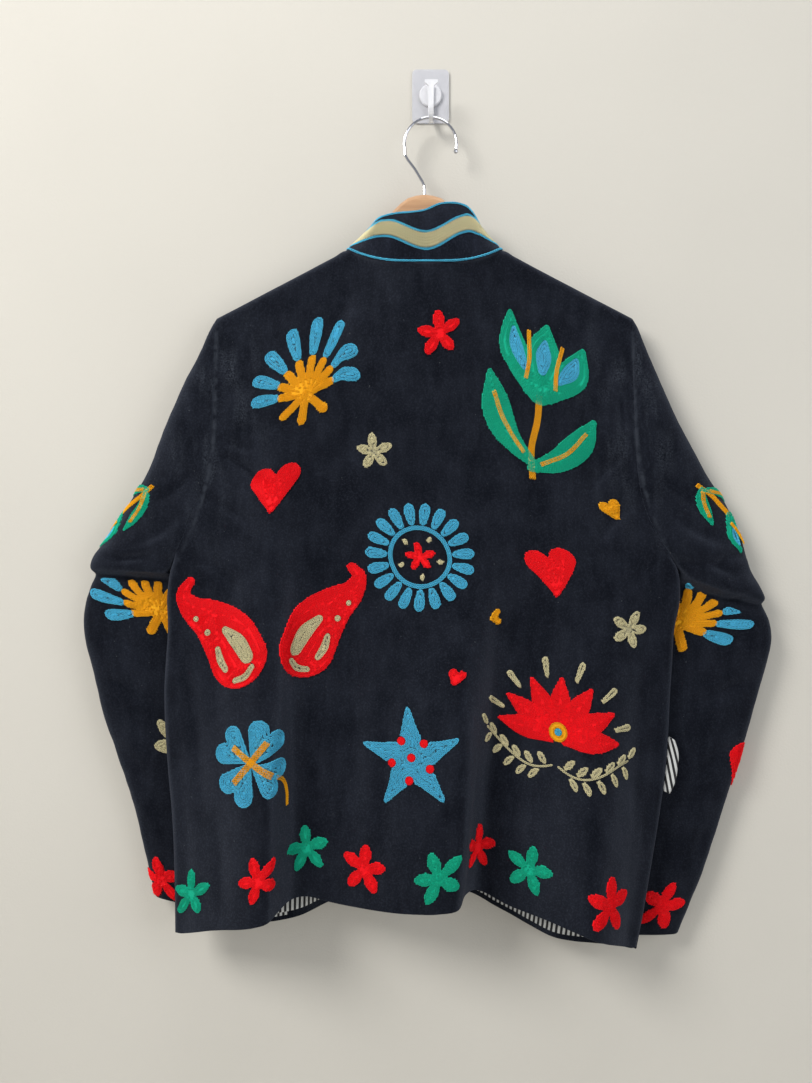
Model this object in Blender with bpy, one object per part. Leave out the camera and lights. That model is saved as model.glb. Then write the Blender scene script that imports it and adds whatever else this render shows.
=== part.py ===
"""Embroidered velvet jacket, seen from its back, on a wooden hanger and a stick-on wall hook.

Frame: +Z is up, the wall is the plane y = 0, and the jacket hangs on its -Y side.
The origin is the middle of the wall plate's back face. Sizes and tables are in
millimetres, and every mesh is scaled to metres when it is made. Left and right are the
wearer's: the wearer's left is at -X, because the jacket's back faces the viewer at -Y.
"""

import math

import bmesh
import bpy
import numpy as np

METRES = 0.001

# Cloth
WALL = 2.0
LINING = 1.0
SEAM = 0.3
HALF_SEAM = SEAM / 2 + 0.05
LINING_GAP = 0.7

# Cut of the body
MIDDLE = -7.0
SHOULDER_HALF = 223.0
NECK_HALF = 84.0
NECK_Z = -177.0
TIP_Z = -250.0
UNDERARM_Z = -516.0
BACK_NECK_DIP = 20.0
BACK_NECK_DEPTH = 27.0
FRONT_NECK_DROP = 78.0
FRONT_Y = -12.2
FRONT_OPENING = 6.0
BACK_NECK_ROUND = (2.4, 0.45)
FRONT_NECK_ROUND = (1.6, 0.08)
TIP_TILT = math.radians(40)
UNDERARM_TILT = math.radians(68)
ROLL_START = 20.0

# Hanger
HANGER_Y = -21.0
HANGER_HALF = 5.4
HANGER_END = 219.0
SHOULDER_ROLL = HANGER_HALF + WALL / 2 + 1.2

# The back stands off the hanger at the nape, and lies flatter and wider further down
NAPE_START = -200.0
NAPE_RUN = 220.0
NAPE_STAND = 2.0
NAPE_SETTLE = 3.0
NAPE_WIDTH = 60.0
NAPE_SPREAD = 130.0

# The fronts lie flat near the opening and reach the side's depth past this distance
FRONT_FLAT = 92.0
FRONT_TURN = 54.0

# Side outline: height, the two visible edges, the middle of the edge and half its opening
SIDE_COLUMNS = ("z", "left", "right", "middle", "half")
SIDE = {
    "tip": (-250, -230, 216, -21.0, 7.5),
    "hanger_end": (-288, -230.5, 215.7, -21.2, 7.7),
    "upper_armhole": (-330, -231, 215.5, -25.0, 8.2),
    "chest": (-385, -233.5, 216.3, -30.0, 8.2),
    "low_armhole": (-425, -241, 219.0, -33.0, 8.0),
    "armhole_turn": (-457, -252, 226.0, -36.0, 7.5),
    "armhole_foot": (-486, -262.5, 239.5, -38.0, 7.0),
    "underarm": (-516, -275, 259, -40.0, 6.0),
    "ribs": (-588, -278.5, 256, -40.5, 5.5),
    "waist": (-648, -282, 252, -41.0, 5.5),
    "pocket": (-724, -278.5, 247.5, -41.5, 6.0),
    "hip": (-786, -273, 239, -42.5, 6.5),
    "low_hip": (-833, -271, 231, -43.5, 7.0),
    "hem": (-903, -269.5, 218.5, -45.0, 8.0),
    "corner": (-921, -269.5, 215.0, -45.0, 8.0),
}

# Hem line: place across, height of the back's hem and of the fronts' hem
HEM_COLUMNS = ("x", "back", "front")
HEM = {
    "left_corner": (-270, -903, -903),
    "left_pipe": (-226, -887, -900),
    "left_crest": (-180, -873, -895),
    "left_valley": (-142, -858.5, -889),
    "left_middle": (-100, -863, -878),
    "middle": (-30, -865, -866),
    "centre_pipe": (12, -860, -866),
    "right_valley": (36, -852.5, -870),
    "right_middle": (80, -869, -893),
    "right_pipe": (130, -881.5, -911),
    "right_crest": (178, -898, -917),
    "right_corner": (215, -920, -920),
}

# Hanging folds: where the crest runs, its two widths, its depth and how far it leans over
PIPE_COLUMNS = ("top", "foot", "start", "full", "left", "right", "depth", "lean")
BACK_PIPES = {
    "left": (-168, -178, -370, -820, 64, 25, 42, 9),
    "centre": (60, 3, -400, -830, 112, 25, 50, 13),
    "right": (196, 160, -430, -860, 70, 38, 36, 0),
    "left_shoulder": (-150, -196, -215, -330, 26, 34, 5, 2),
    "right_shoulder": (128, 176, -215, -330, 34, 26, 5, -2),
}
FRONT_PIPES = {
    "left": (-88, -70, -420, -820, 30, 26, 5, 0),
    "right": (70, 58, -420, -820, 26, 30, 5, 0),
}
FOLD_FOOT = -900.0
FOLD_EDGE = 34.0
LOW_EDGE_Z = -900.0

# Upper sleeve, a row for each step down the armhole: the outer fold's place and depth,
# and how far the cloth bulges towards the viewer and the wall
UPPER_COLUMNS = ("ox", "oz", "oy", "view", "wall")
UPPER_LEFT = {
    "tip_1": (-236, -260, -21.3, 0, 0),
    "tip_2": (-242, -272, -21.6, 0, 0),
    "cap_1": (-250, -290, -22, 1, 1),
    "cap_2": (-266, -321.7, -22.5, 3, 3),
    "cap_3": (-280, -353.7, -22.5, 4, 7),
    "arm_1": (-293, -386.7, -22.5, 3, 9),
    "arm_2": (-306.5, -420.7, -22.5, 2, 10),
    "arm_3": (-327, -453.7, -22, 1, 10),
    "arm_4": (-344.5, -481.7, -22, 1, 11),
    "arm_5": (-357, -499, -22, 2, 11),
    "bag": (-362.5, -506, -22, 3, 11),
    "bag_foot": (-365, -512, -22, 5, 12),
}
UPPER_RIGHT = {
    "tip_1": (222, -260, -21.3, 0, 0),
    "tip_2": (227, -272, -21.6, 0, 0),
    "cap_1": (234.5, -290, -22, 1, 1),
    "cap_2": (247, -321.7, -22.5, 3, 3),
    "cap_3": (261, -353.7, -22.5, 4, 7),
    "arm_1": (279, -387, -22.5, 3, 9),
    "arm_2": (297, -421, -22.5, 2, 10),
    "arm_3": (318.5, -454, -22, 1, 10),
    "arm_4": (331.5, -483, -22, 1, 11),
    "arm_5": (339, -506, -22, 2, 11),
    "bag": (345, -524, -22, 3, 11),
    "bag_foot": (353, -538, -22, 5, 12),
}

# Elbow and lower sleeve, a row for each ring: outer and inner fold, the two bulges, and
# how far the ring's near side hangs below the line between its folds
LOWER_COLUMNS = ("ox", "oz", "oy", "ix", "iz", "iy", "view", "wall", "sag")
LOWER_LEFT = {
    "elbow": (-365.5, -517.5, -23, -280.5, -522, -36, 12, 10, 1),
    "tuck": (-361.5, -526, -20, -271, -531, -25.5, 6, 10, -1),
    "fore_1": (-367, -539, -20, -262, -542, -21.5, 9, 11, 0),
    "fore_2": (-374.5, -568, -19, -233, -570, -17.5, 13, 12, 0),
    "fore_3": (-373.5, -592, -19, -217, -602, -16, 14, 12, 0),
    "fore_4": (-365, -630, -18, -204, -645, -16, 14, 12, 0),
    "fore_5": (-355, -673, -18, -196, -693, -16, 14, 12, 0),
    "fore_6": (-338, -723, -18, -188, -745, -16, 13, 12, 0),
    "fore_7": (-322, -772, -17, -180, -797, -16, 12, 11, 0),
    "fore_8": (-309, -826, -17, -171, -850, -16, 12, 11, 0),
    "cuff": (-298, -872, -17, -163, -892, -16, 12, 11, 2),
}
LOWER_RIGHT = {
    "elbow": (358.5, -550, -23, 264.5, -522, -36, 12, 10, 5),
    "tuck": (356.5, -558, -20, 255, -531, -25.5, 6, 10, 3),
    "fore_1": (363, -572, -20, 246, -545, -21.5, 9, 11, 1),
    "fore_2": (367.5, -596, -19, 217, -576, -17.5, 13, 12, 0),
    "fore_3": (363.5, -619, -19, 201, -608, -16, 14, 12, 0),
    "fore_4": (355, -648, -18, 189, -648, -16, 14, 12, 0),
    "fore_5": (345, -684, -18, 181, -692, -16, 14, 12, 0),
    "fore_6": (331, -730, -18, 171, -742, -16, 13, 12, 0),
    "fore_7": (314, -785, -17, 160, -798, -16, 12, 11, 0),
    "fore_8": (293, -848, -17, 146, -856, -16, 12, 11, 0),
    "cuff": (267, -912, -17, 130, -905, -16, 12, 11, 2),
}
BEHIND_BODY_Y = -30.0
BEHIND_BODY_SLOPE = 2.4
SOFT_FOLD = 0.33
SLEEVE_SWELL = 1.6
SQUARE_SWELL = 0.6
SQUARE_SHOULDER_Z = -440.0
SEAM_TOP_STEP = 2
SLEEVE_COLUMNS = 20

# Collar's top edge. Round runs from the left centre front at -2, by the left shoulder
# seam at -1 and the middle of the nape at 0, to the right centre front at 2
COLLAR_COLUMNS = ("round", "x", "y", "z", "bulge")
COLLAR_TOP = {
    "front_left": (-1.93, -13.5, -11.2, -210, 0),
    "fold_left": (-1.45, -46, -11.2, -186, 1),
    "behind_left": (-1.09, -66.5, -12.4, -161, 0),
    "side_left": (-1.0, -65.5, -21, -155, 1),
    "turn_left": (-0.857, -58, -32, -147.5, 2),
    "back_left": (-0.5, -40, -36, -141, 3),
    "left_dip": (-0.25, -25, -38, -140, 4),
    "middle": (0.0, -8, -39, -138, 4),
    "right_rise": (0.25, 12, -39, -130.5, 4),
    "back_right": (0.5, 32, -36, -131, 3),
    "turn_right": (0.857, 47, -32, -145.5, 2),
    "side_right": (1.0, 52.5, -21, -155, 1),
    "behind_right": (1.09, 52.5, -12.4, -161, 0),
    "fold_right": (1.45, 32, -11.2, -186, 1),
    "front_right": (1.93, -0.5, -11.2, -210, 0),
}

# Hanger: half place across, top edge and bottom edge
WOOD_COLUMNS = ("d", "top", "bottom")
WOOD = {
    "neck_top": (0, -115.6, -171),
    "neck_turn": (18, -119.5, -171.5),
    "neck_side": (35, -134.5, -174),
    "neck_foot": (53, -157, -181),
    "neck_hollow": (70, -174.5, -190),
    "shoulder": (86, -182.5, -201),
    "arm_start": (104, -189.4, -211),
    "arm": (150, -213.6, -243),
    "arm_end": (200, -240.1, -268),
}
WOOD_ROUND = 5.0
WOOD_BELOW = 1.7
WIRE_RADIUS = 1.5
WIRE_BALL = 2.5
HOOK_CENTRE = (-0.5, -60.0)
HOOK_RADIUS = 28.2
WIRE_X = -7.0

# Wall plate and its hook
PLATE_SIZE = (40.5, 59.0)
PLATE_THICKNESS = 1.8
PLATE_CORNER = 5.0
DISC_RADIUS = 12.5
DISC_THICKNESS = 3.0
CLIP_THICKNESS = 2.5
CLIP_WIDTH = 5.0
CLIP_TEE = 14.0
CLIP_REACH = 10.0

# Where the lining bands and the pocket bag show
BAND_HEM = 9.0
BAND_HEIGHT = 34.0
POCKET = {"top": -697, "foot": -753, "reach": 12, "mouth": 1.6, "half": 2.2, "sag": 3, "tuck": 0.6}
POCKET_ENDS = (0.13, 0.87)
POCKET_ROUND = 0.8
POCKET_SQUARE = 0.7

# Grid of the cloth: distances down the armhole from the shoulder seam
ARMHOLE_STEPS = (0, 5, 10.5, 18, 29, 45, 76, 108, 141, 175, 208, 236, 256, 265.5, 1000)
BODY_ROWS = 12
EDGE_STEPS = (0, 5, 10, 16, 25)
BACK_SHOULDER_COLUMNS = 9
FRONT_SHOULDER_COLUMNS = 6
NECK_COLUMNS = 14
COLLAR_ROWS = 5

# Colours: red, green, blue, roughness, metallic
COLOURS = {
    "velvet": (0.012, 0.016, 0.030, 0.9, 0.0),
    "collar_velvet": (0.014, 0.018, 0.034, 0.9, 0.0),
    "striped_cotton": (0.75, 0.75, 0.73, 0.85, 0.0),
    "wood": (0.62, 0.36, 0.19, 0.45, 0.0),
    "chrome": (0.75, 0.75, 0.76, 0.2, 1.0),
    "clear": (0.80, 0.80, 0.84, 0.15, 0.0),
}


def column(table, names, name):
    """One named column of a table, as numbers."""
    index = names.index(name)
    return np.array([row[index] for row in table.values()], float)


def smooth(xs, ys, x):
    """A smooth curve through the points (xs, ys), read at x; xs must rise."""
    slopes = np.gradient(ys, xs)
    x = np.clip(x, xs[0], xs[-1])
    i = np.clip(np.searchsorted(xs, x, side="right") - 1, 0, len(xs) - 2)
    step = xs[i + 1] - xs[i]
    t = (x - xs[i]) / step
    rise = ys[i] * (2 * t**3 - 3 * t**2 + 1) + ys[i + 1] * (3 * t**2 - 2 * t**3)
    turn = slopes[i] * (t**3 - 2 * t**2 + t) + slopes[i + 1] * (t**3 - t**2)
    return rise + step * turn


def ease(t):
    """0 below 0, 1 above 1, smooth between."""
    t = np.clip(t, 0.0, 1.0)
    return t * t * (3 - 2 * t)


def side(name, z):
    """A column of the side outline at height z."""
    heights = column(SIDE, SIDE_COLUMNS, "z")[::-1]
    return float(smooth(heights, column(SIDE, SIDE_COLUMNS, name)[::-1], z))


def hem_z(panel, x):
    """Height of the back's or the fronts' hem at x."""
    return float(smooth(column(HEM, HEM_COLUMNS, "x"), column(HEM, HEM_COLUMNS, panel), x))


def shoulder_z(x):
    """Height of the shoulder seam at x."""
    d = abs(x - MIDDLE)
    return NECK_Z + (TIP_Z - NECK_Z) * (d - NECK_HALF) / (SHOULDER_HALF - NECK_HALF)


def top_z(panel, x):
    """Height of a panel's top edge: the shoulder seam, then the neck line."""
    q = abs(x - MIDDLE) / NECK_HALF
    if q >= 1:
        return shoulder_z(x)
    if panel == "back":
        return NECK_Z - BACK_NECK_DIP * (1 - q ** BACK_NECK_ROUND[0])
    return NECK_Z - FRONT_NECK_DROP * (1 - q ** FRONT_NECK_ROUND[0])


def flat_y(panel, x, z):
    """Depth of a panel without its folds."""
    d = abs(x - MIDDLE)
    middle, half = side("middle", z), side("half", z)
    if panel == "back":
        down = ease((NAPE_START - z) / NAPE_RUN)
        nape = HANGER_Y - BACK_NECK_DEPTH - NAPE_STAND + NAPE_SETTLE * down
        width = NAPE_WIDTH + NAPE_SPREAD * down
        return middle - half + (nape - middle + half) * math.exp(-((d / width) ** 2))
    return FRONT_Y + (middle + half - FRONT_Y) * ease((d - FRONT_FLAT) / FRONT_TURN)


def top_y(panel, x):
    """Depth of a panel's top edge, on the hanger along the shoulder."""
    q = abs(x - MIDDLE) / NECK_HALF
    inside = max(0.0, 1 - q * q)
    if panel == "back":
        return HANGER_Y - HALF_SEAM - BACK_NECK_DEPTH * inside ** BACK_NECK_ROUND[1]
    flat = FRONT_Y - HANGER_Y - HALF_SEAM
    return HANGER_Y + HALF_SEAM + flat * inside ** FRONT_NECK_ROUND[1]


def fold(pipes, x, z, inside):
    """Depth and sideways lean that the hanging folds add at (x, z)."""
    depth = lean = 0.0
    for row in pipes.values():
        p = dict(zip(PIPE_COLUMNS, row))
        down = (p["start"] - z) / (p["start"] - FOLD_FOOT)
        offset = x - (p["top"] + (p["foot"] - p["top"]) * down)
        width = p["left"] if offset < 0 else p["right"]
        grown = ease((p["start"] - z) / (p["start"] - p["full"]))
        shape = grown * math.exp(-((offset / width) ** 2)) * ease(inside / FOLD_EDGE)
        depth += p["depth"] * shape
        lean += p["lean"] * shape * shape
    return depth, lean


def edge_turn(z):
    """How far the panel's edge has turned round the side, 0 flat to a quarter turn."""
    return math.pi / 2 * ease((UNDERARM_Z + ROLL_START - z) / ROLL_START)


def across(panel, z, share):
    """Place across a panel at the height z of its edge: x, edge roll and distance in."""
    turn, half = edge_turn(z), side("half", z)
    left = side("left", z) + half * math.sin(turn)
    right = side("right", z) - half * math.sin(turn)
    arc = half * turn
    width = right - left + 2 * arc
    s = share * width
    if s < arc:
        return left, turn - s / half, s
    if s > width - arc:
        return right, -(turn - (width - s) / half), width - s
    return left + s - arc, 0.0, min(s, width - s)


def body_point(panel, share, row_z, down):
    """A point of the cloth's middle surface.

    share is the place across from 0 to 1, row_z the height of this row at the panel's
    edges, and down the row's place as (part, distance or share), from the shoulder.
    """
    sign = -1 if panel == "back" else 1
    edge_x, roll, inside = across(panel, row_z, share)
    top = top_z(panel, across(panel, TIP_Z, share)[0])
    part, amount = down
    if part == "arm":
        run = TIP_Z - UNDERARM_Z + (math.pi / 2 - 1) * SHOULDER_ROLL
        length = amount * (top - UNDERARM_Z + (math.pi / 2 - 1) * SHOULDER_ROLL) / run
        bend = min(length / SHOULDER_ROLL, math.pi / 2)
        z = top - SHOULDER_ROLL * (1 - math.cos(bend)) - max(0.0, length - SHOULDER_ROLL * math.pi / 2)
    else:
        bend = math.pi / 2
        z = UNDERARM_Z + (hem_z(panel, edge_x) - UNDERARM_Z) * amount
    middle, half = side("middle", z), side("half", z)
    if roll:
        x = edge_x - half * math.sin(roll)
        y = middle + sign * (half * math.cos(roll) + HALF_SEAM * abs(math.sin(roll)))
        return np.array([x, y, z])
    depth, lean = fold(BACK_PIPES if panel == "back" else FRONT_PIPES, edge_x, z, inside)
    y = flat_y(panel, edge_x, z) + sign * depth
    start = top_y(panel, across(panel, TIP_Z, share)[0])
    return np.array([edge_x + lean * math.sin(bend), start + (y - start) * math.sin(bend), z])


def body_rows():
    """Every row of a panel: its height at the edge and its place down."""
    run = TIP_Z - UNDERARM_Z + (math.pi / 2 - 1) * SHOULDER_ROLL
    rows = []
    for step in ARMHOLE_STEPS:
        step = min(step, run)
        bend = min(step / SHOULDER_ROLL, math.pi / 2)
        straight = max(0.0, step - SHOULDER_ROLL * math.pi / 2)
        rows.append((TIP_Z - SHOULDER_ROLL * (1 - math.cos(bend)) - straight, ("arm", step), bend))
    for i in range(1, BODY_ROWS + 1):
        t = i / BODY_ROWS
        rows.append((None, ("side", t), math.pi / 2))
    return rows


def column_shares(panel):
    """Places across of a panel's columns; the fronts end at the centre front."""
    width = 2 * SHOULDER_HALF
    shoulder = SHOULDER_HALF - NECK_HALF
    count = BACK_SHOULDER_COLUMNS if panel == "back" else FRONT_SHOULDER_COLUMNS
    outer = list(EDGE_STEPS) + [
        EDGE_STEPS[-1] + (shoulder - EDGE_STEPS[-1]) * i / count for i in range(1, count + 1)
    ]
    angles = [math.pi * i / NECK_COLUMNS for i in range(1, NECK_COLUMNS)]
    neck = [SHOULDER_HALF - NECK_HALF * math.cos(angle) for angle in angles]
    if panel == "back":
        outer_right = [width - s for s in reversed(outer)]
        return [s / width for s in outer + neck + outer_right]
    neck = neck[: NECK_COLUMNS // 2]
    neck[-1] = SHOULDER_HALF - FRONT_OPENING
    left = [s / width for s in outer + neck]
    return left if panel == "front_left" else [1 - s for s in reversed(left)]


def panel_grid(panel):
    """Middle points of a body panel, row by row, and the directions of its thickness."""
    face = "back" if panel == "back" else "front"
    sign = -1 if panel == "back" else 1
    shares = column_shares(panel)
    points = []
    for edge_z, down, _ in body_rows():
        row = []
        for share in shares:
            z = edge_z
            if z is None:
                near = side("left" if share < 0.5 else "right", LOW_EDGE_Z)
                z = UNDERARM_Z + (hem_z(face, near) - UNDERARM_Z) * down[1]
            row.append(body_point(face, share, z, down))
        points.append(row)
    points = np.array(points)
    normals = grid_normals(points)
    if np.mean(normals[..., 1]) * sign < 0:
        normals = -normals
    for j, share in enumerate(shares):
        x = points[0, j, 0]
        if abs(x - MIDDLE) > NECK_HALF - 1:
            slope = math.atan2(NECK_Z - TIP_Z, SHOULDER_HALF - NECK_HALF)
            normals[0, j] = (math.copysign(math.sin(slope), x - MIDDLE), 0, math.cos(slope))
    for j, outward in ((0, -1), (len(shares) - 1, 1)):
        if 0.01 < shares[j] < 0.99:
            continue
        for i, (edge_z, _, bend) in enumerate(body_rows()):
            turn = edge_turn(points[i, j, 2])
            tilt = UNDERARM_TILT * (1 if edge_z is not None else 0)
            out = math.sin(turn) * math.cos(tilt) + math.cos(bend) * math.sin(TIP_TILT)
            up = math.cos(bend) * math.cos(TIP_TILT) - math.sin(turn) * math.sin(tilt)
            normal = np.array([outward * out, sign * math.cos(turn) * math.sin(bend), up])
            normals[i, j] = normal / np.linalg.norm(normal)
    return points, normals


def grid_normals(points, closed_from=None):
    """Unit normals of a grid of points; rows from closed_from on are rings."""
    down = np.gradient(points, axis=0)
    along = np.gradient(points, axis=1)
    if closed_from is not None:
        turn = points[closed_from:, 1] - points[closed_from:, -2]
        along[closed_from:, 0] = along[closed_from:, -1] = turn / 2
    normals = np.cross(down, along)
    lengths = np.linalg.norm(normals, axis=2, keepdims=True)
    return normals / np.maximum(lengths, 1e-9)


def wall(name, points, normals, thickness, material, closed_from=None):
    """A cloth wall: the grid's points moved half the thickness to each side, and its rims.

    Rows from closed_from on are rings, whose last point is their first.
    """
    rows, columns = points.shape[:2]
    ring_start = rows if closed_from is None else closed_from
    mesh = bmesh.new()
    layers = []
    for offset in (thickness / 2, -thickness / 2):
        moved = (points + normals * offset) * METRES
        layer = []
        for i in range(rows):
            count = columns if i < ring_start else columns - 1
            row = [mesh.verts.new(moved[i, j]) for j in range(count)]
            layer.append(row + row[:1] * (columns - count))
        layers.append(layer)
    outer, inner = layers
    for i in range(rows - 1):
        for j in range(columns - 1):
            mesh.faces.new((outer[i][j], outer[i][j + 1], outer[i + 1][j + 1], outer[i + 1][j]))
            mesh.faces.new((inner[i][j], inner[i + 1][j], inner[i + 1][j + 1], inner[i][j + 1]))
    for j in range(columns - 1):
        mesh.faces.new((outer[0][j], inner[0][j], inner[0][j + 1], outer[0][j + 1]))
        mesh.faces.new((outer[-1][j], outer[-1][j + 1], inner[-1][j + 1], inner[-1][j]))
    for i in range(min(rows - 1, ring_start)):
        mesh.faces.new((outer[i][0], outer[i + 1][0], inner[i + 1][0], inner[i][0]))
        mesh.faces.new((outer[i][-1], inner[i][-1], inner[i + 1][-1], outer[i + 1][-1]))
    return finish_mesh(name, mesh, material)


def finish_mesh(name, mesh, material, sharp=math.radians(50)):
    """Make a named object of a closed mesh, its faces pointing out, with its material."""
    bmesh.ops.triangulate(mesh, faces=mesh.faces[:], quad_method="FIXED")
    if mesh.calc_volume(signed=True) < 0:
        bmesh.ops.reverse_faces(mesh, faces=mesh.faces[:])
    data = bpy.data.meshes.new(name)
    mesh.to_mesh(data)
    mesh.free()
    data.shade_smooth()
    data.set_sharp_from_angle(angle=sharp)
    data.materials.append(material)
    item = bpy.data.objects.new(name, data)
    bpy.context.collection.objects.link(item)
    return item


def armhole_seam(outward, back, front):
    """The sleeve's side of the armhole seam, up the back, over the shoulder, down the front."""
    j = 0 if outward < 0 else -1
    rows = len(ARMHOLE_STEPS)
    line = np.concatenate((back[0][rows - 1 :: -1, j], front[0][:rows, j]))
    normals = np.concatenate((back[1][rows - 1 :: -1, j], front[1][:rows, j]))
    along = np.gradient(line, axis=0)
    out = np.cross(normals, along)
    out /= np.linalg.norm(out, axis=1, keepdims=True)
    out *= np.where(out[:, :1] * outward < 0, -1, 1)
    return line + out * (SEAM + 0.05), normals


def between(line, first, last, shares):
    """Points and directions along part of a seam line, at shares of its length."""
    points, normals = line[0][first : last + 1], line[1][first : last + 1]
    length = np.concatenate(([0], np.cumsum(np.linalg.norm(np.diff(points, axis=0), axis=1))))
    at = np.array(shares) * length[-1]
    place = np.stack([np.interp(at, length, points[:, k]) for k in range(3)], 1)
    face = np.stack([np.interp(at, length, normals[:, k]) for k in range(3)], 1)
    return place, face / np.linalg.norm(face, axis=1, keepdims=True)


def upper_side(seam, outer, bulge, count):
    """Points from the armhole seam to the outer fold, on one side of the upper sleeve."""
    even = ease((seam[2] - UNDERARM_Z) / (SQUARE_SHOULDER_Z - UNDERARM_Z))
    swell = SOFT_FOLD + (1 - SOFT_FOLD) * even
    beyond = (seam[1] - outer[1]) * math.copysign(1, bulge)
    points = []
    for i in range(count + 1):
        angle = math.pi / 2 * i / count
        share = even * math.sin(angle) + (1 - even) * math.sin(angle) ** 2
        round_y = math.sqrt(max(0.0, 1 - share * share))
        point = seam + (outer - seam) * share
        if beyond > 0:
            point[1] = outer[1] + (seam[1] - outer[1]) * round_y
        full = bulge * (SLEEVE_SWELL + SQUARE_SWELL * even)
        point[1] += full * share**swell * (1 - share) ** SOFT_FOLD
        points.append(point)
    return points


def lower_side(inner, outer, bulge, count):
    """Points from the inner fold to the outer fold, on one side of the lower sleeve."""
    points = []
    for i in range(count + 1):
        share = math.sin(math.pi / 2 * i / count) ** 2
        point = inner + (outer - inner) * share
        point[1] += bulge * (4 * share * (1 - share)) ** SOFT_FOLD
        points.append(point)
    return points


def behind_body(point, outward):
    """Keep a point of the lower sleeve on the wall side of the body."""
    outside = (point[0] - side("left" if outward < 0 else "right", point[2])) * outward
    point[1] = max(point[1], BEHIND_BODY_Y - BEHIND_BODY_SLOPE * max(0.0, outside - 1))
    return point


def sleeve_grid(upper, lower, outward, back, front):
    """Middle points and thickness directions of a sleeve, row by row.

    The upper rows run from the back armhole edge round the outer fold to the front
    armhole edge. From the underarm down the rows are rings, whose two ends are one point.
    """
    seam = armhole_seam(outward, back, front)
    rows, half = len(ARMHOLE_STEPS), SLEEVE_COLUMNS // 2
    even = [i / SLEEVE_COLUMNS for i in range(SLEEVE_COLUMNS + 1)]
    top = between(seam, rows - 1 - SEAM_TOP_STEP, rows + SEAM_TOP_STEP, even)
    grid = [list(top[0])]
    for k, row in enumerate(upper.values()):
        r = dict(zip(UPPER_COLUMNS, row))
        step = SEAM_TOP_STEP + 1 + k
        near, far = seam[0][rows - 1 - step], seam[0][rows + step]
        if step == rows - 1:
            near = far = (near + far) / 2
        outer = np.array([r["ox"], r["oy"], r["oz"]])
        view = upper_side(near, outer, -r["view"] - 1e-6, half)
        grid.append(view + upper_side(far, outer, r["wall"] + 1e-6, half)[-2::-1])
    for row in lower.values():
        r = dict(zip(LOWER_COLUMNS, row))
        outer = np.array([r["ox"], r["oy"], r["oz"]])
        inner = np.array([r["ix"], r["iy"], r["iz"]])
        view = lower_side(inner, outer, -r["view"], half)
        for i, point in enumerate(view):
            point[2] -= r["sag"] * math.sin(math.pi * i / half)
            behind_body(point, outward)
        grid.append(view + lower_side(inner, outer, r["wall"], half)[-2::-1])
    points = np.array(grid)
    normals = grid_normals(points, closed_from=len(upper))
    middle = points.mean(axis=1, keepdims=True)
    if np.sum(normals * (points - middle)) < 0:
        normals = -normals
    normals[0] = top[1]
    for k in range(len(upper)):
        step = SEAM_TOP_STEP + 1 + k
        normals[k + 1, 0] = seam[1][rows - 1 - step]
        normals[k + 1, -1] = seam[1][rows + step]
    return points, normals


def collar_grid(back, front_left, front_right):
    """Middle points and thickness directions of the collar, from its seam upwards."""
    neck = slice(len(EDGE_STEPS) - 1 + BACK_SHOULDER_COLUMNS, None)
    at = len(EDGE_STEPS) - 1 + BACK_SHOULDER_COLUMNS
    front_at = len(EDGE_STEPS) - 1 + FRONT_SHOULDER_COLUMNS
    base = list(front_left[0][0, :front_at:-1])
    turned = list(front_left[1][0, :front_at:-1])
    base += list(back[0][0, neck][: NECK_COLUMNS + 1])
    turned += list(back[1][0, at : at + NECK_COLUMNS + 1])
    half = NECK_COLUMNS // 2
    base += list(front_right[0][0, half - 1 :: -1])
    turned += list(front_right[1][0, half - 1 :: -1])
    base, turned = np.array(base), np.array(turned)
    for i in (half, half + NECK_COLUMNS):
        base[i, 1] = HANGER_Y
    q = (base[:, 0] - MIDDLE) / NECK_HALF
    share = np.clip(q, -1, 1)
    for i in range(len(q)):
        if not half <= i <= half + NECK_COLUMNS:
            share[i] = math.copysign(2 - abs(q[i]), q[i])
    along = np.gradient(base, axis=0)
    up = np.cross(turned, along)
    up /= np.linalg.norm(up, axis=1, keepdims=True)
    up *= np.where(up[:, 2:] < 0, -1, 1)
    base = base + up * (SEAM + 0.1)
    edge = column(COLLAR_TOP, COLLAR_COLUMNS, "round")
    top = np.stack([smooth(edge, column(COLLAR_TOP, COLLAR_COLUMNS, c), share) for c in "xyz"], 1)
    bulge = smooth(edge, column(COLLAR_TOP, COLLAR_COLUMNS, "bulge"), share)
    rows = []
    for i in range(COLLAR_ROWS + 1):
        t = i / COLLAR_ROWS
        row = base + (top - base) * t
        row[:, 1] -= bulge * 4 * t * (1 - t)
        rows.append(row)
    points = np.array(rows)
    normals = grid_normals(points)
    if normals[2, len(base) // 2, 1] > 0:
        normals = -normals
    normals[0] = turned
    return points, normals


def hem_band(front, material, name):
    """The striped lining band inside a front, made from the panel's own points."""
    points, normals = front
    lift = WALL / 2 + LINING_GAP + LINING / 2
    first = 1 if name.endswith("left") else 0
    last = points.shape[1] - (0 if name.endswith("left") else 1)
    inner = (points - normals * lift)[:, first:last]
    turned = normals[:, first:last]
    run = np.linalg.norm(inner[-2] - inner[-1], axis=1, keepdims=True)
    low = BAND_HEM / run
    high = (BAND_HEM + BAND_HEIGHT) / run - 1
    top = inner[-2] + (inner[-3] - inner[-2]) * high
    foot = inner[-1] + (inner[-2] - inner[-1]) * low
    grid = [top, inner[-2], foot]
    faces = [turned[-2], turned[-2], turned[-2]]
    return wall(name, np.array(grid), np.array(faces), LINING, material)


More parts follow.
